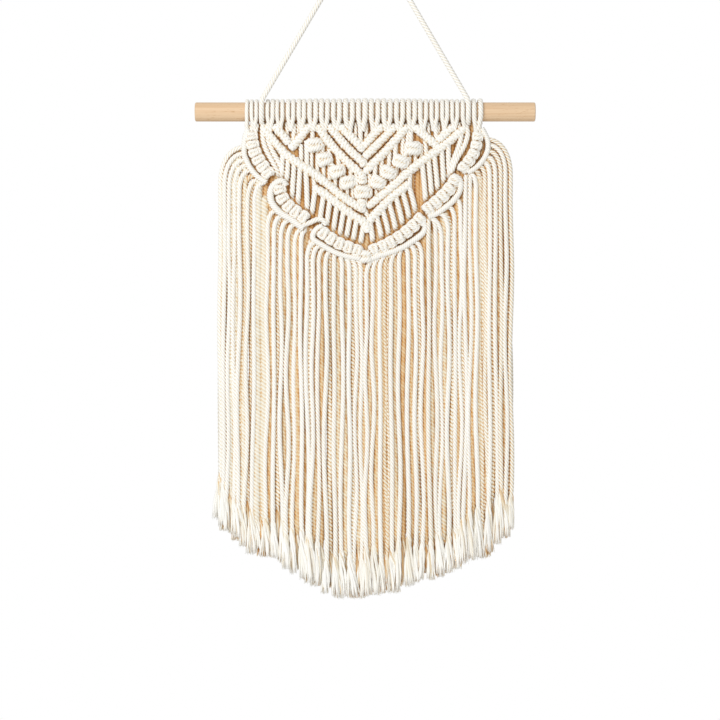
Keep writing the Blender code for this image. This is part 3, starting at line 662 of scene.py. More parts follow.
BESIDE_SWAGS = (  # x and drop of the thick strands between the upper swags and the long bars
    ((-75.0, 9.0), (-75.3, 16.0), (-73.6, 26.0), (-68.6, 36.0), (-64.6, 44.0), (-62.0, 52.0),
     (-60.5, 60.0)),
    ((-71.6, 9.0), (-71.6, 19.0), (-68.8, 27.5), (-62.6, 39.5), (-58.6, 50.0), (-56.8, 60.0)),
    ((73.0, 9.0), (75.2, 16.0), (72.8, 25.0), (67.4, 34.5), (64.2, 42.0), (60.2, 50.0), (58.0, 58.0)),
    ((71.0, 14.0), (69.0, 25.0), (64.6, 36.0), (61.4, 45.0), (57.4, 54.0)),
)
print("hanging strands:", len(BESIDE_SWAGS) + len(HANGING))

# %% Lay the hanging strands
HANGING_RADIUS = 2.05 * MM
BESIDE_RADIUS = 2.1 * MM
BEHIND_BAND_Y = 1.4 * MM
SLIP_BACK = BEHIND_BAND_Y - FRONT_Y
SLIP_NEAR = 9.0 * MM  # how near a band a strand starts to slip back
SLIP_OVER = 4.0 * MM
UNDER_BAND = 3.0 * MM  # how near the band's middle it may end
BESIDE_DROP = 42.0 * MM  # the drop at which a thick one starts to slip back
BESIDE_OVER = 9.0 * MM
HANGING_STEPS = 40


def eased(share):
    """From 0 to 1 with a soft start and a soft end."""
    return share * share * (3 - 2 * share)


def nearest_band(point):
    return min(np.linalg.norm((path - point)[:, (0, 2)], axis=1).min() for path in band_paths.values())


def lay_hanging(root_x, root_drop, goal_x, goal_drop):
    path = []
    closest = 1.0  # a metre, further than any band
    for step in range(HANGING_STEPS + 1):
        share = step / HANGING_STEPS
        x = root_x + (goal_x - root_x) * math.sin(math.pi / 2 * share)
        point = place(x * MM, (root_drop + (goal_drop - root_drop) * share) * MM)
        near = nearest_band(point)
        if near < UNDER_BAND and near > closest:
            break
        closest = near
        point[1] = FRONT_Y + SLIP_BACK * eased(min(max((SLIP_NEAR - near) / SLIP_OVER, 0), 1))
        path.append(point)
    if len(path) > 8:  # every fourth point of a long one is enough
        path = path[::4] + [path[-1]]
    lay_cord(strands, path, HANGING_RADIUS)


def lay_beside(rows):
    path = smooth_path(route(rows), 4.0 * MM)
    path[:, 1] += SLIP_BACK * eased(np.clip((DOWEL_Z - path[:, 2] - BESIDE_DROP) / BESIDE_OVER, 0, 1))
    lay_cord(strands, path, BESIDE_RADIUS)


for rows in BESIDE_SWAGS:
    lay_beside(rows)
for row in HANGING:
    lay_hanging(*row)
print("points in all the panel's strands:", strands.count)

# %% [markdown]
# ## The swags
#
# Each swag is a flat sennit, one square knot after another round two still cords, and a rope
# that runs along its outer edge and loops over its top. Plain cords fill the place between the
# two. The fringe hangs from the rope.

# %% One sennit and one rope
KNOT_LENGTH = 6.6 * MM
SENNIT_FULL = 0.4  # how much fuller a band is than its half width, in millimetres
SENNIT_DEEP = 1.6 * MM
ROPE_SEAM = 0.4
JOINT_RADIUS = 2.0 * MM
OUTER_LEG_RADIUS = 1.8 * MM
FILLING = (0.25, 0.6)  # where the plain cords lie, as shares of the way from the band to the rope
FILLING_RADIUS = 2.3 * MM
FILLING_BACK = 1.2  # how far back they lie, in millimetres
BACK_STEP = 1.3 * MM


def lay_sennit(bundle, swag):
    path = front_path(swag["band"], SWAG_Y)
    tangents = unit(np.gradient(path, axis=0))
    count = max(3, round(length_of(path) / KNOT_LENGTH))
    half_length = length_of(path) / count / 2
    start, end = swag["half_width"]
    for index in range(count):
        share = (index + 0.5) / count
        at = int(share * (len(path) - 1))
        half_width = (start + (end - start) * share + SENNIT_FULL) * MM
        lay_knot(bundle, path[at], tangents[at], half_width, half_length * 0.99, SENNIT_DEEP)


def lay_rope(bundle, swag):
    """The rope, its joint, and the plain cords between rope and band."""
    lay_cord(bundle, route(swag["rope"], SWAG_Y), swag["rope_radius"] * MM, lay=TIGHT_LAY, seam=ROPE_SEAM)
    if "joint" in swag:
        lay_cord(bundle, route(swag["joint"], SWAG_Y), JOINT_RADIUS)
    rope = front_path(swag["rope"], 0.0)
    band = front_path(swag["band"], 0.0)
    for near_rope in FILLING:
        between = []
        for share in np.linspace(0.02, 0.97, 9):
            on_rope = rope[round(share * (len(rope) - 1))]
            on_band = band[np.linalg.norm(band - on_rope, axis=1).argmin()]
            between.append(on_band + (on_rope - on_band) * near_rope - TOWARDS * FILLING_BACK * MM)
        # the plain cords lie back from the front and get painted shade
        lay_cord(bundle, between, FILLING_RADIUS, step=BACK_STEP, back=True, shade=0.15)


print("knots in the bands:", [round(length_of(path) / KNOT_LENGTH) for path in band_paths.values()])

# %% Lay the sennits and ropes
sennits = {"left_upper": left_sennit, "right_upper": right_sennit}
for name, swag in SWAGS.items():
    if name not in sennits:
        sennits[name] = new_bundle(name + "_sennit", name + "_swag")
    for leg in OUTER_LEGS.get(name, ()):
        lay_cord(sennits[name], route(leg), OUTER_LEG_RADIUS)
    lay_sennit(sennits[name], swag)
    lay_rope(sennits[name], swag)
print("points in the sennits and ropes:", sum(bundle.count for bundle in sennits.values()))

# %% [markdown]
# ## The fringe
#
# Forty-nine strands hang side by side in front, with a few more behind. Each one comes out
# under its swag's rope, turns over a soft shoulder and falls straight. They are cut to a
# shallow V, and the last few centimetres are combed out of their twist into a brush.

# %% How the fringe is trimmed
TRIM = [  # x and drop of the fringe's lower edge, in millimetres
    (-114.0, 292.0), (-110.3, 296.0), (-101.0, 308.6), (-91.8, 314.5), (-80.8, 325.5),
    (-67.3, 328.9), (-58.9, 333.9), (-51.3, 340.7), (-40.4, 344.9), (-33.6, 349.9),
    (-23.5, 356.7), (-0.7, 357.5), (11.1, 353.0), (24.4, 352.4), (31.6, 349.3),
    (42.2, 344.4), (51.1, 343.5), (58.2, 339.0), (80.5, 329.3), (92.1, 322.2),
    (102.8, 312.4), (114.0, 301.0),
]


def trim_drop(x):
    table = np.array(TRIM) * MM
    return float(np.interp(x, table[:, 0], table[:, 1]))


print("the trim is lowest at", max(TRIM, key=lambda row: row[1]), "mm")

# %% The path of a strand
UNDER_ROPE = ((1.4, 2.2), (0.0, 2.6), (-2.0, 1.3))  # towards the band and back, in millimetres
SHOULDER = (0.1, 0.25, 0.42, 0.6, 0.8, 1.0)  # shares of the way over the shoulder
SHOULDER_FALL = 6.0 * MM
SHOULDER_SLOPE = 1.35  # how much a strand falls more for each step sideways
FALL_POINTS = 12
FALL_WAVE = 0.35 * MM


def from_under_the_rope(root, inward):
    """A strand starts behind its rope and comes out below it."""
    return [root + inward * across * MM - TOWARDS * deep * MM for across, deep in UNDER_ROPE]


def fringe_path(start, hang_x, foot, y, bottom, stray, sway):
    """Out of the rope, over a shoulder and down, with the slight sway of a soft cord."""
    root = start[-1]
    reach = hang_x - root[0]
    fall = SHOULDER_FALL + SHOULDER_SLOPE * abs(reach)
    path = list(start)
    for part in SHOULDER:
        outward = 1 - (1 - part) ** 2
        path.append(np.array((root[0] + reach * outward, root[1] + (y - root[1]) * outward,
                              root[2] - fall * part ** 1.6)))
    top = path[-1][2]
    phase = chance.uniform(0, 2 * math.pi)
    waves = chance.uniform(1.2, 2.2)
    for part in np.linspace(0, 1, FALL_POINTS)[1:]:
        x = hang_x + (foot - hang_x) * part + stray * part ** 3
        x += sway * math.sin(phase + 2 * math.pi * waves * part) * min(1, 4 * part)
        deep = y + FALL_WAVE * math.sin(phase * 2 + 5 * part)
        path.append(np.array((x, deep, top + (bottom - top) * part)))
    return path


print("points along a strand:", len(UNDER_ROPE) + len(SHOULDER) + FALL_POINTS - 1)

# %% [markdown]
# ## Brushes
#
# The end of each strand is untwisted and combed, so it opens into locks and loose fibres that
# fan out, wind on a little and thin towards their tips. Each lock is a tube of seven rings, and
# each fibre a thinner one with three sides, because there are more than two thousand of them.

# %% One brush
LOCKS = 16
LOCK = 0.84 * MM
FIBRES = 26
FIBRE = 0.26 * MM
BRUSH = (17.0 * MM, 33.0 * MM)  # the shortest and the longest brush
OPENING = 9.0 * MM  # how far above the cord's end its plies start to part
ALONG_LOCK = np.array((0.0, 0.16, 0.32, 0.5, 0.68, 0.84, 1.0))
LOCK_THICKNESS = np.array((0.75, 0.95, 1.1, 1.15, 1.1, 0.9, 0.35))
LOCK_SHADE = np.array((0.15, 0.12, 0.08, 0.0, 0.0, -0.05, -0.2))  # painted shade at its root among the other locks, painted paler at its tip
OPEN_TO = (2.9, 5.2)  # a brush's radius at its foot, in millimetres
BRUSH_LEAN = 1.4  # how far it leans to a side at most, in millimetres
BRUSH_FLAT = 0.55  # how deep it is against its width
WINDS_ON = 3.4  # radians that a lock still winds on
SIDEWAYS = np.array((1.0, 0.0, 0.0))


def lay_brush(bundle, end, down, length, shade):
    """Locks and loose fibres that fan out of the cord's end."""
    spread = chance.uniform(*OPEN_TO) * MM
    lean = chance.uniform(-BRUSH_LEAN, BRUSH_LEAN) * MM
    for number in range(LOCKS + FIBRES):
        lock = number < LOCKS
        ply = (number % PLIES + chance.uniform(-0.28, 0.28)) / PLIES
        angle = 2 * math.pi * ply if lock else chance.uniform(0, 2 * math.pi)
        share = chance.uniform(0.75, 1.0) if lock and number % 3 else math.sqrt(chance.random())
        inner = 1.1 * MM * share
        outer = spread * share * chance.uniform(0.75, 1.1 if lock else 1.25)
        trimmed = length * (chance.uniform(0.94, 1.0) if lock else chance.uniform(0.96, 1.03))
        wave = chance.uniform(-0.45, 0.45) * MM
        phase = chance.uniform(0, 2 * math.pi)
        path = []
        for part in ALONG_LOCK:
            radius = inner + (outer - inner) * part ** 1.1
            turned = angle - WINDS_ON * (1 - (1 - part) ** 3)
            curl = wave * math.sin(phase + math.pi * 3.2 * part) * min(1, 3 * part)
            path.append(end + down * ((trimmed + OPENING) * part - OPENING)
                        + SIDEWAYS * (radius * math.cos(turned) + curl + lean * part ** 1.5)
                        + TOWARDS * (radius * math.sin(turned) * BRUSH_FLAT))
        sides = 5 if lock else 3
        thick = (LOCK if lock else FIBRE) * LOCK_THICKNESS
        run = trimmed * ALONG_LOCK
        rings, out = sweep(np.array(path), thick, np.ones(sides), np.arange(sides) / sides, run * 0)
        # painted shade from its strand and along the lock, plus a tone that differs at random from lock to
        # lock
        tone = shade + chance.uniform(-0.1, 0.42) + LOCK_SHADE
        bundle.add(rings, out, 0.0, run * 0.15, shade=tone, thickness=0.1)


print("tubes in a brush:", LOCKS + FIBRES)

# %% A strand with its brush
FRINGE_SPREAD = 0.006  # how much wider the fringe is at its foot
FRINGE_STEP = 1.08 * MM
BACK_FRINGE_STEP = 1.55 * MM
TAPER = ((0, 0.965, 1), (1, 1, 0.5))  # the cord narrows where its plies part
BRUSH_SHADE = 0.6  # how much of its strand's shade a brush keeps


def lay_fringe_strand(bundle, start, hung, y, shorter, radius, back=False, shade=0.0):
    hang_x, stray = hung
    foot = hang_x * (1 + FRINGE_SPREAD)
    bottom = DOWEL_Z - trim_drop(foot) - chance.uniform(-1.2, 1.2) * MM + shorter
    brush = chance.uniform(*BRUSH)
    sway = chance.uniform(0.2, 0.6) * MM if back else chance.uniform(0.4, 1.2) * MM
    path = fringe_path(start, hang_x, foot, y, bottom + brush, stray, sway)
    laid = lay_cord(bundle, path, radius, step=BACK_FRINGE_STEP if back else FRINGE_STEP,
                    scale=TAPER, back=back, shade=shade)
    lay_brush(bundle, laid[-1], unit(laid[-1] - laid[-3]), brush, shade * BRUSH_SHADE)


print("brushes are", [round(length / MM) for length in BRUSH], "mm long")

# %% Where each strand hangs
FRINGE_COUNT = 49
STRAYS = [chance.uniform(-1.9, 1.9) * MM for _ in range(FRINGE_COUNT)]  # how far its foot wanders
STRAYS[0] = abs(STRAYS[0])  # the outermost two wander inwards
STRAYS[-1] = -abs(STRAYS[-1])
SETTLED = (  # where each front strand hangs, a third of the way down the fringe, in millimetres
    -106.3, -103.2, -99.9, -96.0, -92.4, -90.1, -86.4, -81.3,
    -76.1, -71.7, -67.0, -62.0, -57.0, -51.9,
    -47.1, -42.7, -38.5, -34.1, -29.1, -22.9, -17.0, -11.7, -6.8, -3.1,
    0.8, 5.6, 10.7, 14.5, 18.9, 24.8, 31.4, 36.6, 41.6, 46.4, 51.6,
    56.0, 60.8, 65.6, 70.0, 73.6, 77.0,
    81.3, 84.5, 88.0, 91.4, 95.5, 99.4, 102.8, 106.7,
)
RECESSED = {  # strands that have slipped behind their neighbours, and how much more painted shade they get
    5: 0.55, 8: 0.6, 27: 0.45, 42: 0.42, 43: 0.28, 46: 0.28, 48: 0.25, 33: 0.25,
}
FAR_BACK = 0.4  # a strand with more painted shade than this also lies deeper
ROOTED_ABOVE = {  # x and drop of the roots of strands that hang from the end of the swag above
    14: (-44.4, 85.6), 33: (46.4, 77.2), 34: (49.6, 77.8), 39: (74.2, 45.4), 40: (77.4, 44.2),
}


def hanging_place(number, behind):
    """Where a strand hangs and how far its foot wanders; one behind lies between two in front."""
    if behind:
        other = min(number + 1, FRINGE_COUNT - 1)
        return (SETTLED[number] + SETTLED[other]) / 2 * MM, (STRAYS[number] + STRAYS[other]) / 2
    return SETTLED[number] * MM, STRAYS[number]


print("fringe, mm wide where it has settled:", round(SETTLED[-1] - SETTLED[0], 1))

# %% Lay the fringe
LAST_ROOT = 0.97  # the share of a rope at which the last of its strands starts
FRINGE_Y = -3.6 * MM
FRINGE_RADIUS = 1.82 * MM
DEEPER = 2.4 * MM  # how much deeper a strand lies that has slipped far back
DEEPER_WIDER = 1.2
BEHIND_Y = -0.5 * MM
BEHIND_BACK = 3.2 * MM  # how far behind its root a strand behind starts
BEHIND_SHORTER = 6.0 * MM
BEHIND_WIDER = 1.3
WIDENS = 0.5  # and wider still by this share of how far its neighbours' feet wander apart
BEHIND_SHADE = 0.3  # how much more painted shade a strand behind gets
for name, swag in SWAGS.items():
    fringe = new_bundle(name + "_fringe", name + "_swag", shade_weight=0.75)
    rope = front_path(swag["rope"], SWAG_Y)
    band = band_paths[name]
    first, last = swag["strands"]
    on_rope = [number for number in range(first, last + 1) if number not in ROOTED_ABOVE]
    on_rope.sort(key=lambda number: -abs(number - (FRINGE_COUNT - 1) / 2))  # from the outside inwards
    shares = dict(zip(on_rope, np.linspace(swag["from"], LAST_ROOT, len(on_rope))))
    for number in range(first, last + 1):
        if number in ROOTED_ABOVE:
            x, drop = ROOTED_ABOVE[number]
            root = place(x * MM, drop * MM, SWAG_Y)
            inward = -DOWN
        else:
            root = rope[round(shares[number] * (len(rope) - 1))]
            nearest = band[np.linalg.norm((band - root)[:, (0, 2)], axis=1).argmin()]
            inward = unit((nearest - root) * np.array((1, 0, 1)))
        # a recessed strand gets painted shade; every strand's tone also differs a little at random
        recess_shade = RECESSED.get(number, 0.0)
        deep = DEEPER if recess_shade > FAR_BACK else chance.uniform(-0.8, 0.9) * MM
        lay_fringe_strand(fringe, from_under_the_rope(root, inward), hanging_place(number, False),
                          FRINGE_Y + deep, 0.0, FRINGE_RADIUS * (DEEPER_WIDER if recess_shade > FAR_BACK else 1.0),
                          shade=recess_shade + chance.uniform(-0.1, 0.06))
        if number in swag["behind"]:
            other = min(number + 1, FRINGE_COUNT - 1)
            wide = BEHIND_WIDER * FRINGE_RADIUS + WIDENS * abs(STRAYS[number] - STRAYS[other])
            lay_fringe_strand(fringe, [root - TOWARDS * BEHIND_BACK], hanging_place(number, True),
                              BEHIND_Y, BEHIND_SHORTER, wide, shade=BEHIND_SHADE)
print("fringe laid:", sum(bundle.count for bundle in bundles), "points so far")

# %% [markdown]
# ## The row behind
#
# Every cord of the front was folded over the dowel, so there are as many again behind it. Only
# slivers of them show, and they carry painted shade, warm and brown, so that the gaps between the
# strands read as deep shade instead of empty. They are coarser than the cords in front, and one
# whose neighbours wander apart is wider, so that no light comes through.

# %% The row behind the fringe
PANEL_HALF = 80.0 * MM  # half the width of the part that hangs from the dowel itself
BACK_Y = -0.4 * MM
BACK_RADIUS = 2.75 * MM
BACK_WIDENS = 0.35
BACK_SHORTER = 4.0 * MM
HIDDEN_START = 13.0 * MM  # how far above its rope a strand behind starts
HIDDEN_Y = (2.6 * MM, 2.4 * MM)
PALE_LEFT_OF = -72.0 * MM  # towards the light the gaps get less painted shade
PALE_NEARER = 1.0 * MM
PALE_SHADE = (0.2, 0.35)
DARK_SHADE = (0.34, 0.56)
back_row = new_bundle("fringe_behind", "knotted_panel", shade_weight=0.4)
for number in range(FRINGE_COUNT - 1):
    if any(number in swag["behind"] for swag in SWAGS.values()):
        continue
    x, stray = hanging_place(number, True)
    over = next(swag for swag in SWAGS.values() if swag["strands"][0] <= number <= swag["strands"][1])
    rope = front_path(over["rope"], 0.0)
    above = rope[np.abs(rope[:, 0] - x).argmin()]
    inner = abs(x) < PANEL_HALF
    top = x if inner else above[0]
    start = [np.array((top, HIDDEN_Y[0], above[2] + HIDDEN_START * inner)),
             np.array((top, HIDDEN_Y[1], above[2] - 1.0 * MM))]
    radius = BACK_RADIUS + BACK_WIDENS * abs(STRAYS[number] - STRAYS[number + 1])
    # each cord behind gets painted shade, less of it towards the light on the left
    pale = x < PALE_LEFT_OF
    lay_fringe_strand(back_row, start, (x, stray), BACK_Y - PALE_NEARER * pale, BACK_SHORTER, radius,
                      back=True, shade=chance.uniform(*(PALE_SHADE if pale else DARK_SHADE)))
print("row behind the fringe:", back_row.count, "points")

# %% The row behind the knots
PANEL_BACK_PITCH = 3.7 * MM
PANEL_BACK_RADIUS = 2.6 * MM
PANEL_BACK_Y = 0.5 * MM
PANEL_BACK_TOP = 5.0 * MM
# painted shade: the cords behind the knots are brown all over, for the shade deep behind them
PANEL_BACK_SHADE = (0.52, 0.7)
BESIDE_IT = 4.5 * MM
PAST_ROPE = 34.0 * MM  # how far under the lowest rope beside it such a cord ends
panel_back = new_bundle("panel_behind", "knotted_panel", shade_weight=0.3)
ropes = np.vstack([front_path(swag["rope"], 0.0) for swag in SWAGS.values()])
for x in np.arange(-PANEL_HALF, PANEL_HALF, PANEL_BACK_PITCH):
    x = x + chance.uniform(-0.3, 0.3) * MM
    beside = ropes[np.abs(ropes[:, 0] - x) < BESIDE_IT]
    foot = DOWEL_Z - float(beside[:, 2].min()) + PAST_ROPE
    points = []
    for part in (0, 0.25, 0.5, 0.75, 1):
        drop = PANEL_BACK_TOP + (foot - PANEL_BACK_TOP) * part
        points.append(place(x + chance.uniform(-0.4, 0.4) * MM, drop, PANEL_BACK_Y))
    lay_cord(panel_back, points, PANEL_BACK_RADIUS, step=BACK_STEP, back=True,
             shade=chance.uniform(*PANEL_BACK_SHADE))
print("row behind the knots:", panel_back.count, "points")

# %% [markdown]
# ## The hanging cord
#
# One cord wraps the dowel between the lark's heads, rises over the hook and comes down to the
# other side. Its path is the same as in the solid model, so the two agree.

# %% Hanging cord
HANGER_X = (-75.9 * MM, 75.5 * MM)
HANGER_WRAP = DOWEL_RADIUS + WRAP_GAP + CORD / 2
HANGER_FREE_END = 35  # degrees above the axis, behind the dowel, where the hidden end lies
HANGER_ARCH = 8.2 * MM  # radius of the bend over the hook
HANGER_ARCH_FROM = 150  # degrees at which a straight run meets it
HANGER_LEAN = 12.0 * MM  # radius of the bend out of the wrap


def hanger_side(x, goal):
    points = []
    for step in range(16):
        turn = math.radians(HANGER_FREE_END - (180 + HANGER_FREE_END) * step / 15)
        points.append(place(x, -HANGER_WRAP * math.sin(turn), HANGER_WRAP * math.cos(turn)))
    rise = place(x, -4.0 * MM, -HANGER_WRAP)
    slope = math.atan2(abs(goal[0] - rise[0]), goal[2] - rise[2])
    inward = math.copysign(HANGER_LEAN, -x)
    for step in range(4):
        turn = slope * step / 3
        points.append(rise + np.array((inward * (1 - math.cos(turn)), 0, HANGER_LEAN * math.sin(turn))))
    start = points[-1]
    for step in range(1, 12):
        points.append(start + (goal - start) * step / 12)
    return points


arch_middle = np.array((0, 0, CORD / 2 - HANGER_ARCH))
arch = []
for step in range(9):
    turn = math.radians(HANGER_ARCH_FROM + (90 - HANGER_ARCH_FROM) * step / 4)
    arch.append(arch_middle + np.array((math.cos(turn), 0, math.sin(turn))) * HANGER_ARCH)
hanger_points = hanger_side(HANGER_X[0], arch[0]) + arch + hanger_side(HANGER_X[1], arch[-1])[::-1]
hanger = new_bundle("hanging_cord_laid", "hanging_cord")
hanger_path = lay_cord(hanger, hanger_points, CORD / 2, step=1.0 * MM)
print("hanging cord:", round(length_of(hanger_path) / MM), "mm")

# %% [markdown]
# ## Painted shade in the hollows
#
# Undyed cotton is nearly white where it is open to the light. Where cords press together it lies in
# shade, and light that bounces from fibre to fibre comes out straw-coloured; this shade is painted
# into the colour. To paint it, the script marks which small cells of space hold cotton, blurs the
# marks a little, and asks for every point of every cord how full the space just outside it is.

# %% How crowded is each place
CELL = 0.8 * MM
inside = np.vstack([np.vstack(bundle.solid) for bundle in bundles if bundle is not hanger])
low = inside.min(axis=0) - 10 * CELL
size = np.ceil((inside.max(axis=0) + 10 * CELL - low) / CELL).astype(int)
full = np.zeros(size, dtype=np.float32)
cell = ((inside - low) / CELL).astype(int)
full[cell[:, 0], cell[:, 1], cell[:, 2]] = 1.0
print("grid:", size, "filled:", int(full.sum()))

# %% Blur it a little and a lot
def blurred(grid, times):
    for _ in range(times):
        for axis in range(3):
            grid = (np.roll(grid, 1, axis) + 2 * grid + np.roll(grid, -1, axis)) / 4
    return grid


crowded_near = blurred(full, 1)
crowded_far = blurred(full, 6)
print("densest place:", round(float(crowded_far.max()), 2))

# %% Ask it for any point
JUST_OUTSIDE = 0.85 * MM
FURTHER_OUT = 3.0 * MM


def read_grid(grid, points):
    """The grid's value at each point, eased between the eight cells around it."""
    spot = np.clip((points - low) / CELL - 0.5, 0, size - 2)
    base = spot.astype(int)
    part = spot - base
    value = np.zeros(len(points))
    for dx in (0, 1):
        for dy in (0, 1):
            for dz in (0, 1):
                weight = (np.abs(1 - dx - part[:, 0]) * np.abs(1 - dy - part[:, 1])
                          * np.abs(1 - dz - part[:, 2]))
                value += weight * grid[base[:, 0] + dx, base[:, 1] + dy, base[:, 2] + dz]
    return value


# how hemmed in by cotton the space outside a point is; it sets the painted shade
def crowding(points, outward):
    near = read_grid(crowded_near, points + outward * JUST_OUTSIDE)
    far = read_grid(crowded_far, points + outward * FURTHER_OUT)
    return np.clip((near - 0.4) / 0.5, 0, 1) * 0.6 + np.clip((far - 0.22) / 0.4, 0, 1) * 0.5


print("looks", JUST_OUTSIDE / MM, "and", FURTHER_OUT / MM, "mm out of each cord")

# %% [markdown]
# ## Cotton
#
# Undyed cotton cord, spun and laid, with no finish on it: matte, a little woolly at the edge of
# each ply, ivory in the light. Its hollows get painted shade, straw to brown, from the crowding
# that was just measured and from the groove between two plies. The fibres are fine lines that
# run nearly along the cord, because they are spun against the lay.

# %% Colour and node helpers
def from_hex(code):
    """An sRGB hex colour as linear red, green, blue and alpha."""
    channels = [int(code[i:i + 2], 16) / 255 for i in (1, 3, 5)]
    return [c / 12.92 if c <= 0.04045 else ((c + 0.055) / 1.055) ** 2.4 for c in channels] + [1.0]


def add_node(owner, kind, inputs=None, **settings):
    """Add a node to a material or the world, set its settings, and fill or link its inputs."""
    node = owner.node_tree.nodes.new(kind)
    for key, value in settings.items():
        setattr(node, key, value)
    for key, value in (inputs or {}).items():
        if isinstance(value, bpy.types.NodeSocket):
            owner.node_tree.links.new(value, node.inputs[key])
        else:
            node.inputs[key].default_value = value
    return node


def set_stops(node, stops):
    """Put colours at their positions on a colour ramp."""
    elements = node.color_ramp.elements
    for element, (position, _) in zip(elements, (stops[0], stops[-1])):
        element.position = position
    for position, _ in stops[1:-1]:
        elements.new(position)
    for element, (_, code) in zip(elements, stops):
        element.color = from_hex(code)


def new_material(name):
    material = bpy.data.materials.new(name)
    material.use_nodes = True
    material.node_tree.nodes.clear()
    return material


print("ivory in linear light:", [round(c, 3) for c in from_hex("#F7F1E6")])

# %% Undyed cotton
FIBRES_ROUND = 26.0  # fine lines round the cord, about 0.5 mm apart
FIBRES_ALONG = FIBRES_ROUND / (LAY / UV_LENGTH)  # the same lines counted along the cord
PATCHES = 45.0  # the tone drifts over patches of about 22 mm
cotton = new_material("undyed_twisted_cotton")
painted_shade = add_node(cotton, "ShaderNodeAttribute", attribute_name="painted_shade")
# painted shade: the ramp turns the cotton from white through straw to brown as the shade deepens
shade = add_node(cotton, "ShaderNodeValToRGB", {"Fac": painted_shade.outputs["Fac"]})
set_stops(shade, [(0.0, "#FFFFFF"), (0.28, "#FBFAF5"), (0.43, "#F1EBDC"), (0.56, "#E8D2AE"),
                  (0.72, "#DDB079"), (0.86, "#CB914D"), (1.0, "#9A6226")])
uv = add_node(cotton, "ShaderNodeUVMap", uv_map="cord")
parts = add_node(cotton, "ShaderNodeSeparateXYZ", {"Vector": uv.outputs["UV"]})
across = add_node(cotton, "ShaderNodeMath", {0: parts.outputs["X"], 1: FIBRES_ROUND},
                  operation="MULTIPLY")
down = add_node(cotton, "ShaderNodeMath", {0: parts.outputs["Y"], 1: FIBRES_ALONG},
                operation="MULTIPLY")
slant = add_node(cotton, "ShaderNodeMath", {0: across.outputs[0], 1: down.outputs[0]},
                 operation="ADD")
fibre_at = add_node(cotton, "ShaderNodeCombineXYZ", {"X": slant.outputs[0], "Y": parts.outputs["Y"]})
fibres = add_node(cotton, "ShaderNodeTexNoise",
                  {"Vector": fibre_at.outputs["Vector"], "Scale": 1.0, "Detail": 2.0, "Roughness": 0.6})
where = add_node(cotton, "ShaderNodeTexCoord")
patches = add_node(cotton, "ShaderNodeTexNoise",
                   {"Vector": where.outputs["Object"], "Scale": PATCHES, "Detail": 2.0})
patch_tone = add_node(cotton, "ShaderNodeMix",
                      {"Factor": patches.outputs["Fac"], 6: from_hex("#FFFFFF"), 7: from_hex("#FAF9F6")},
                      data_type="RGBA")
fibre_tone = add_node(cotton, "ShaderNodeMix",
                      {"Factor": fibres.outputs["Fac"], 6: from_hex("#F2F1EE"), 7: from_hex("#FFFFFF")},
                      data_type="RGBA")
tinted = add_node(cotton, "ShaderNodeMix",
                  {"Factor": 1.0, 6: shade.outputs["Color"], 7: patch_tone.outputs[2]},
                  data_type="RGBA", blend_type="MULTIPLY")
lined = add_node(cotton, "ShaderNodeMix",
                 {"Factor": 0.6, 6: tinted.outputs[2], 7: fibre_tone.outputs[2]},
                 data_type="RGBA", blend_type="MULTIPLY")
relief = add_node(cotton, "ShaderNodeBump",
                  {"Height": fibres.outputs["Fac"], "Strength": 0.35, "Distance": 0.12 * MM})
cotton_skin = add_node(cotton, "ShaderNodeBsdfPrincipled",
                       {"Base Color": lined.outputs[2], "Roughness": 0.9, "IOR": 1.53,
                        "Specular IOR Level": 0.2, "Sheen Weight": 0.12, "Sheen Roughness": 0.5,
                        "Normal": relief.outputs["Normal"]})
add_node(cotton, "ShaderNodeOutputMaterial", {"Surface": cotton_skin.outputs["BSDF"]})
print("cotton nodes:", len(cotton.node_tree.nodes))

# %% [markdown]
# ## From bundles to objects
#
# A mesh can be filled from whole arrays at once, which is far quicker than point by point. Each
# bundle becomes one mesh with its UV map and one more number for each point, the painted shade
# that comes from how deep in a hollow it lies. Then it is hung on what carries it, and the solid
# of the frame that it stands for is hidden.

# %% One bundle, one object
def make_piece(bundle):
    points = np.vstack(bundle.points)
    outward = np.vstack(bundle.outward)
    groove = np.concatenate(bundle.groove)
    quads = np.vstack(bundle.faces)
    mesh = bpy.data.meshes.new(bundle.name)
    cap_corners = [corner for cap, _ in bundle.caps for corner in cap]
    corners = np.concatenate((quads.reshape(-1), np.array(cap_corners, dtype=int)))
    sizes = [4] * len(quads) + [len(cap) for cap, _ in bundle.caps]
    starts = np.concatenate(((0,), np.cumsum(sizes)[:-1]))
    mesh.vertices.add(len(points))
    mesh.vertices.foreach_set("co", points.reshape(-1))
    mesh.loops.add(len(corners))
    mesh.loops.foreach_set("vertex_index", corners)
    mesh.polygons.add(len(sizes))
    mesh.polygons.foreach_set("loop_start", starts)
    mesh.update(calc_edges=True)
    uv_layer = mesh.uv_layers.new(name="cord")
    cap_uv = [(i / len(cap), v) for cap, v in bundle.caps for i in range(len(cap))]
    uv_layer.data.foreach_set("uv", np.vstack(bundle.uvs + [np.array(cap_uv)]).reshape(-1))
    # painted shade: how crowded the space outside each point is, the groove between plies, and each cord's
    # own painted shade with a little tone that differs at random
    painted_shade_values = np.clip(crowding(points, outward) * bundle.shade_weight + groove
                            + np.concatenate(bundle.shade), 0, 1)
    attribute = mesh.attributes.new("painted_shade", "FLOAT", "POINT")
    attribute.data.foreach_set("value", painted_shade_values.astype(np.float32))
    mesh.polygons.foreach_set("use_smooth", np.arange(len(sizes)) < len(quads))
    mesh.validate()
    piece = bpy.data.objects.new(bundle.name, mesh)
    bpy.context.scene.collection.objects.link(piece)
    mesh.materials.append(cotton)
    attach(piece, "root")
    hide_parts(bundle.node)
    triangles = sum(size - 2 for size in sizes)
    print(bundle.name, triangles, "triangles, mean hollow", round(float(painted_shade_values.mean()), 2))
    return piece, triangles


print("bundles to make:", len(bundles))

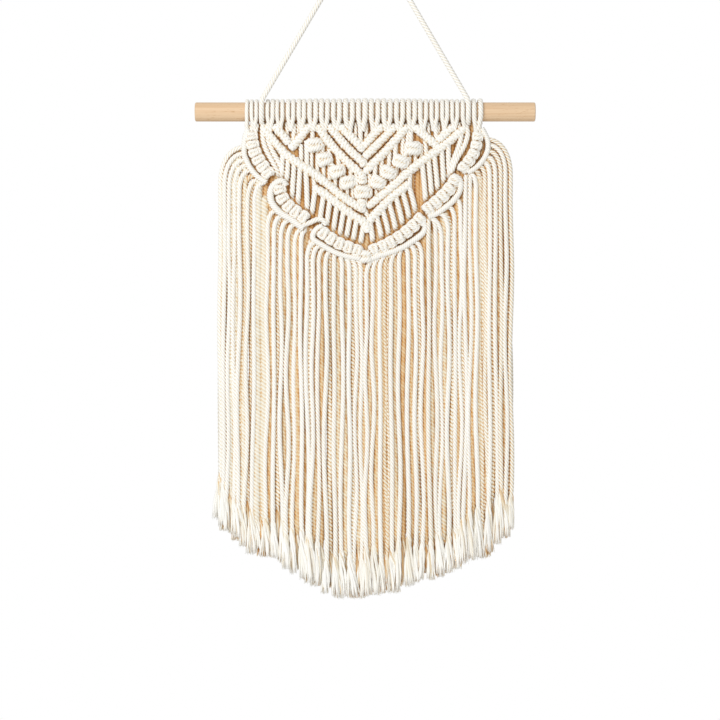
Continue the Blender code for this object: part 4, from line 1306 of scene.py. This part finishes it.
# %% Make the objects
total = 0
for bundle in bundles:
    piece, triangles = make_piece(bundle)
    total += triangles
print("cotton in all:", total, "triangles")

# %% [markdown]
# ## Beech
#
# The dowel is plain sanded beech: pale straw-pink wood with fine grain lines along its length
# and short darker flecks. Its solid in the frame is already right, so it only gets its wood.

# %% Sanded beech
GRAIN = (12.0, 700.0, 700.0)  # lines about 1.4 mm apart and 80 mm long
FLECKS = (220.0, 1500.0, 1500.0)  # flecks about 0.7 mm wide and 4.5 mm long
beech = new_material("sanded_beech")
spot = add_node(beech, "ShaderNodeTexCoord")
along_grain = add_node(beech, "ShaderNodeMapping", {"Vector": spot.outputs["Object"], "Scale": GRAIN})
grain = add_node(beech, "ShaderNodeTexNoise",
                 {"Vector": along_grain.outputs["Vector"], "Scale": 1.0, "Detail": 5.0,
                  "Roughness": 0.65, "Distortion": 0.3})
grain_tone = add_node(beech, "ShaderNodeValToRGB", {"Fac": grain.outputs["Fac"]})
set_stops(grain_tone, [(0.3, "#D6B28B"), (0.7, "#E8CCAA")])
fleck_at = add_node(beech, "ShaderNodeMapping", {"Vector": spot.outputs["Object"], "Scale": FLECKS})
flecks = add_node(beech, "ShaderNodeTexNoise",
                  {"Vector": fleck_at.outputs["Vector"], "Scale": 1.0, "Detail": 1.0})
fleck_mask = add_node(beech, "ShaderNodeMapRange",
                      {"Value": flecks.outputs["Fac"], "From Min": 0.66, "From Max": 0.74,
                       "To Min": 0.0, "To Max": 0.55})
wood = add_node(beech, "ShaderNodeMix",
                {"Factor": fleck_mask.outputs["Result"], 6: grain_tone.outputs["Color"],
                 7: from_hex("#B98A59")}, data_type="RGBA")
wood_relief = add_node(beech, "ShaderNodeBump",
                       {"Height": grain.outputs["Fac"], "Strength": 0.2, "Distance": 0.1 * MM})
wood_skin = add_node(beech, "ShaderNodeBsdfPrincipled",
                     {"Base Color": wood.outputs[2], "Roughness": 0.55, "IOR": 1.5,
                      "Normal": wood_relief.outputs["Normal"]})
add_node(beech, "ShaderNodeOutputMaterial", {"Surface": wood_skin.outputs["BSDF"]})
dowel = bpy.data.objects["dowel"]
dowel.data.materials.clear()
dowel.data.materials.append(beech)
print("dowel faces:", len(dowel.data.polygons))

# %% [markdown]
# ## Light, floor and camera
#
# The photograph is high-key: a white surround and one broad light from the upper left. A weak
# one from below stands for what a pale floor throws back. The camera looks straight on from a
# metre and a half, with a long lens.

# %% Floor
FLOOR_Z = -1.6  # the wall hanging is at eye level, well above the floor
bpy.ops.object.select_all(action="DESELECT")
bpy.ops.mesh.primitive_plane_add(size=4.0, location=(0, 0, FLOOR_Z))
floor = bpy.context.active_object
floor.name = "pale_floor"
paint = new_material("pale_floor_paint")
floor_skin = add_node(paint, "ShaderNodeBsdfPrincipled",
                      {"Base Color": from_hex("#F4F3F1"), "Roughness": 0.8})
add_node(paint, "ShaderNodeOutputMaterial", {"Surface": floor_skin.outputs["BSDF"]})
floor.data.materials.append(paint)
print("floor at", floor.location.z, "m")

# %% Lights
SURROUND = 0.58  # how bright the white surround is as a light; the camera sees it as plain white
world = bpy.data.worlds.new("white_surround")
world.use_nodes = True
world.node_tree.nodes.clear()
seen = add_node(world, "ShaderNodeLightPath")
lit = add_node(world, "ShaderNodeBackground", {"Color": from_hex("#FFFDF8"), "Strength": SURROUND})
plain = add_node(world, "ShaderNodeBackground", {"Color": from_hex("#FFFFFF")})
either = add_node(world, "ShaderNodeMixShader",
                  {0: seen.outputs["Is Camera Ray"], 1: lit.outputs[0], 2: plain.outputs[0]})
add_node(world, "ShaderNodeOutputWorld", {"Surface": either.outputs[0]})
bpy.context.scene.world = world
bpy.context.scene.view_settings.view_transform = "Standard"


def add_softbox(name, location, target, side, power):
    light = bpy.data.lights.new(name, "AREA")
    light.shape = "SQUARE"
    light.size = side
    light.energy = power
    lamp = bpy.data.objects.new(name, light)
    lamp.location = location
    lamp.rotation_euler = (Vector(target) - Vector(location)).to_track_quat("-Z", "Y").to_euler()
    bpy.context.scene.collection.objects.link(lamp)


add_softbox("key_softbox", (-0.6, -1.3, 0.3), (0, 0, -0.3), 0.9, 13.6)
add_softbox("low_bounce", (0.0, -0.55, -1.1), (0, 0, -0.45), 0.8, 1.7)

# %% Camera
CAMERA_AWAY = 1.5
VIEW_WIDTH = 528.6 * MM  # what the photograph takes in at the knotted front
VIEW_X = -3.8 * MM  # where the middle of the photograph lies on it
VIEW_Z = -310.9 * MM
SENSOR = 36.0
camera_data = bpy.data.cameras.new("camera")
camera_data.sensor_width = SENSOR
camera_data.lens = SENSOR * (CAMERA_AWAY + FRONT_Y) / VIEW_WIDTH
camera = bpy.data.objects.new("camera", camera_data)
camera.location = (VIEW_X, -CAMERA_AWAY, VIEW_Z)
camera.rotation_euler = (math.radians(90), 0, 0)
bpy.context.scene.collection.objects.link(camera)
bpy.context.scene.camera = camera
print("lens:", round(camera_data.lens, 1), "mm")
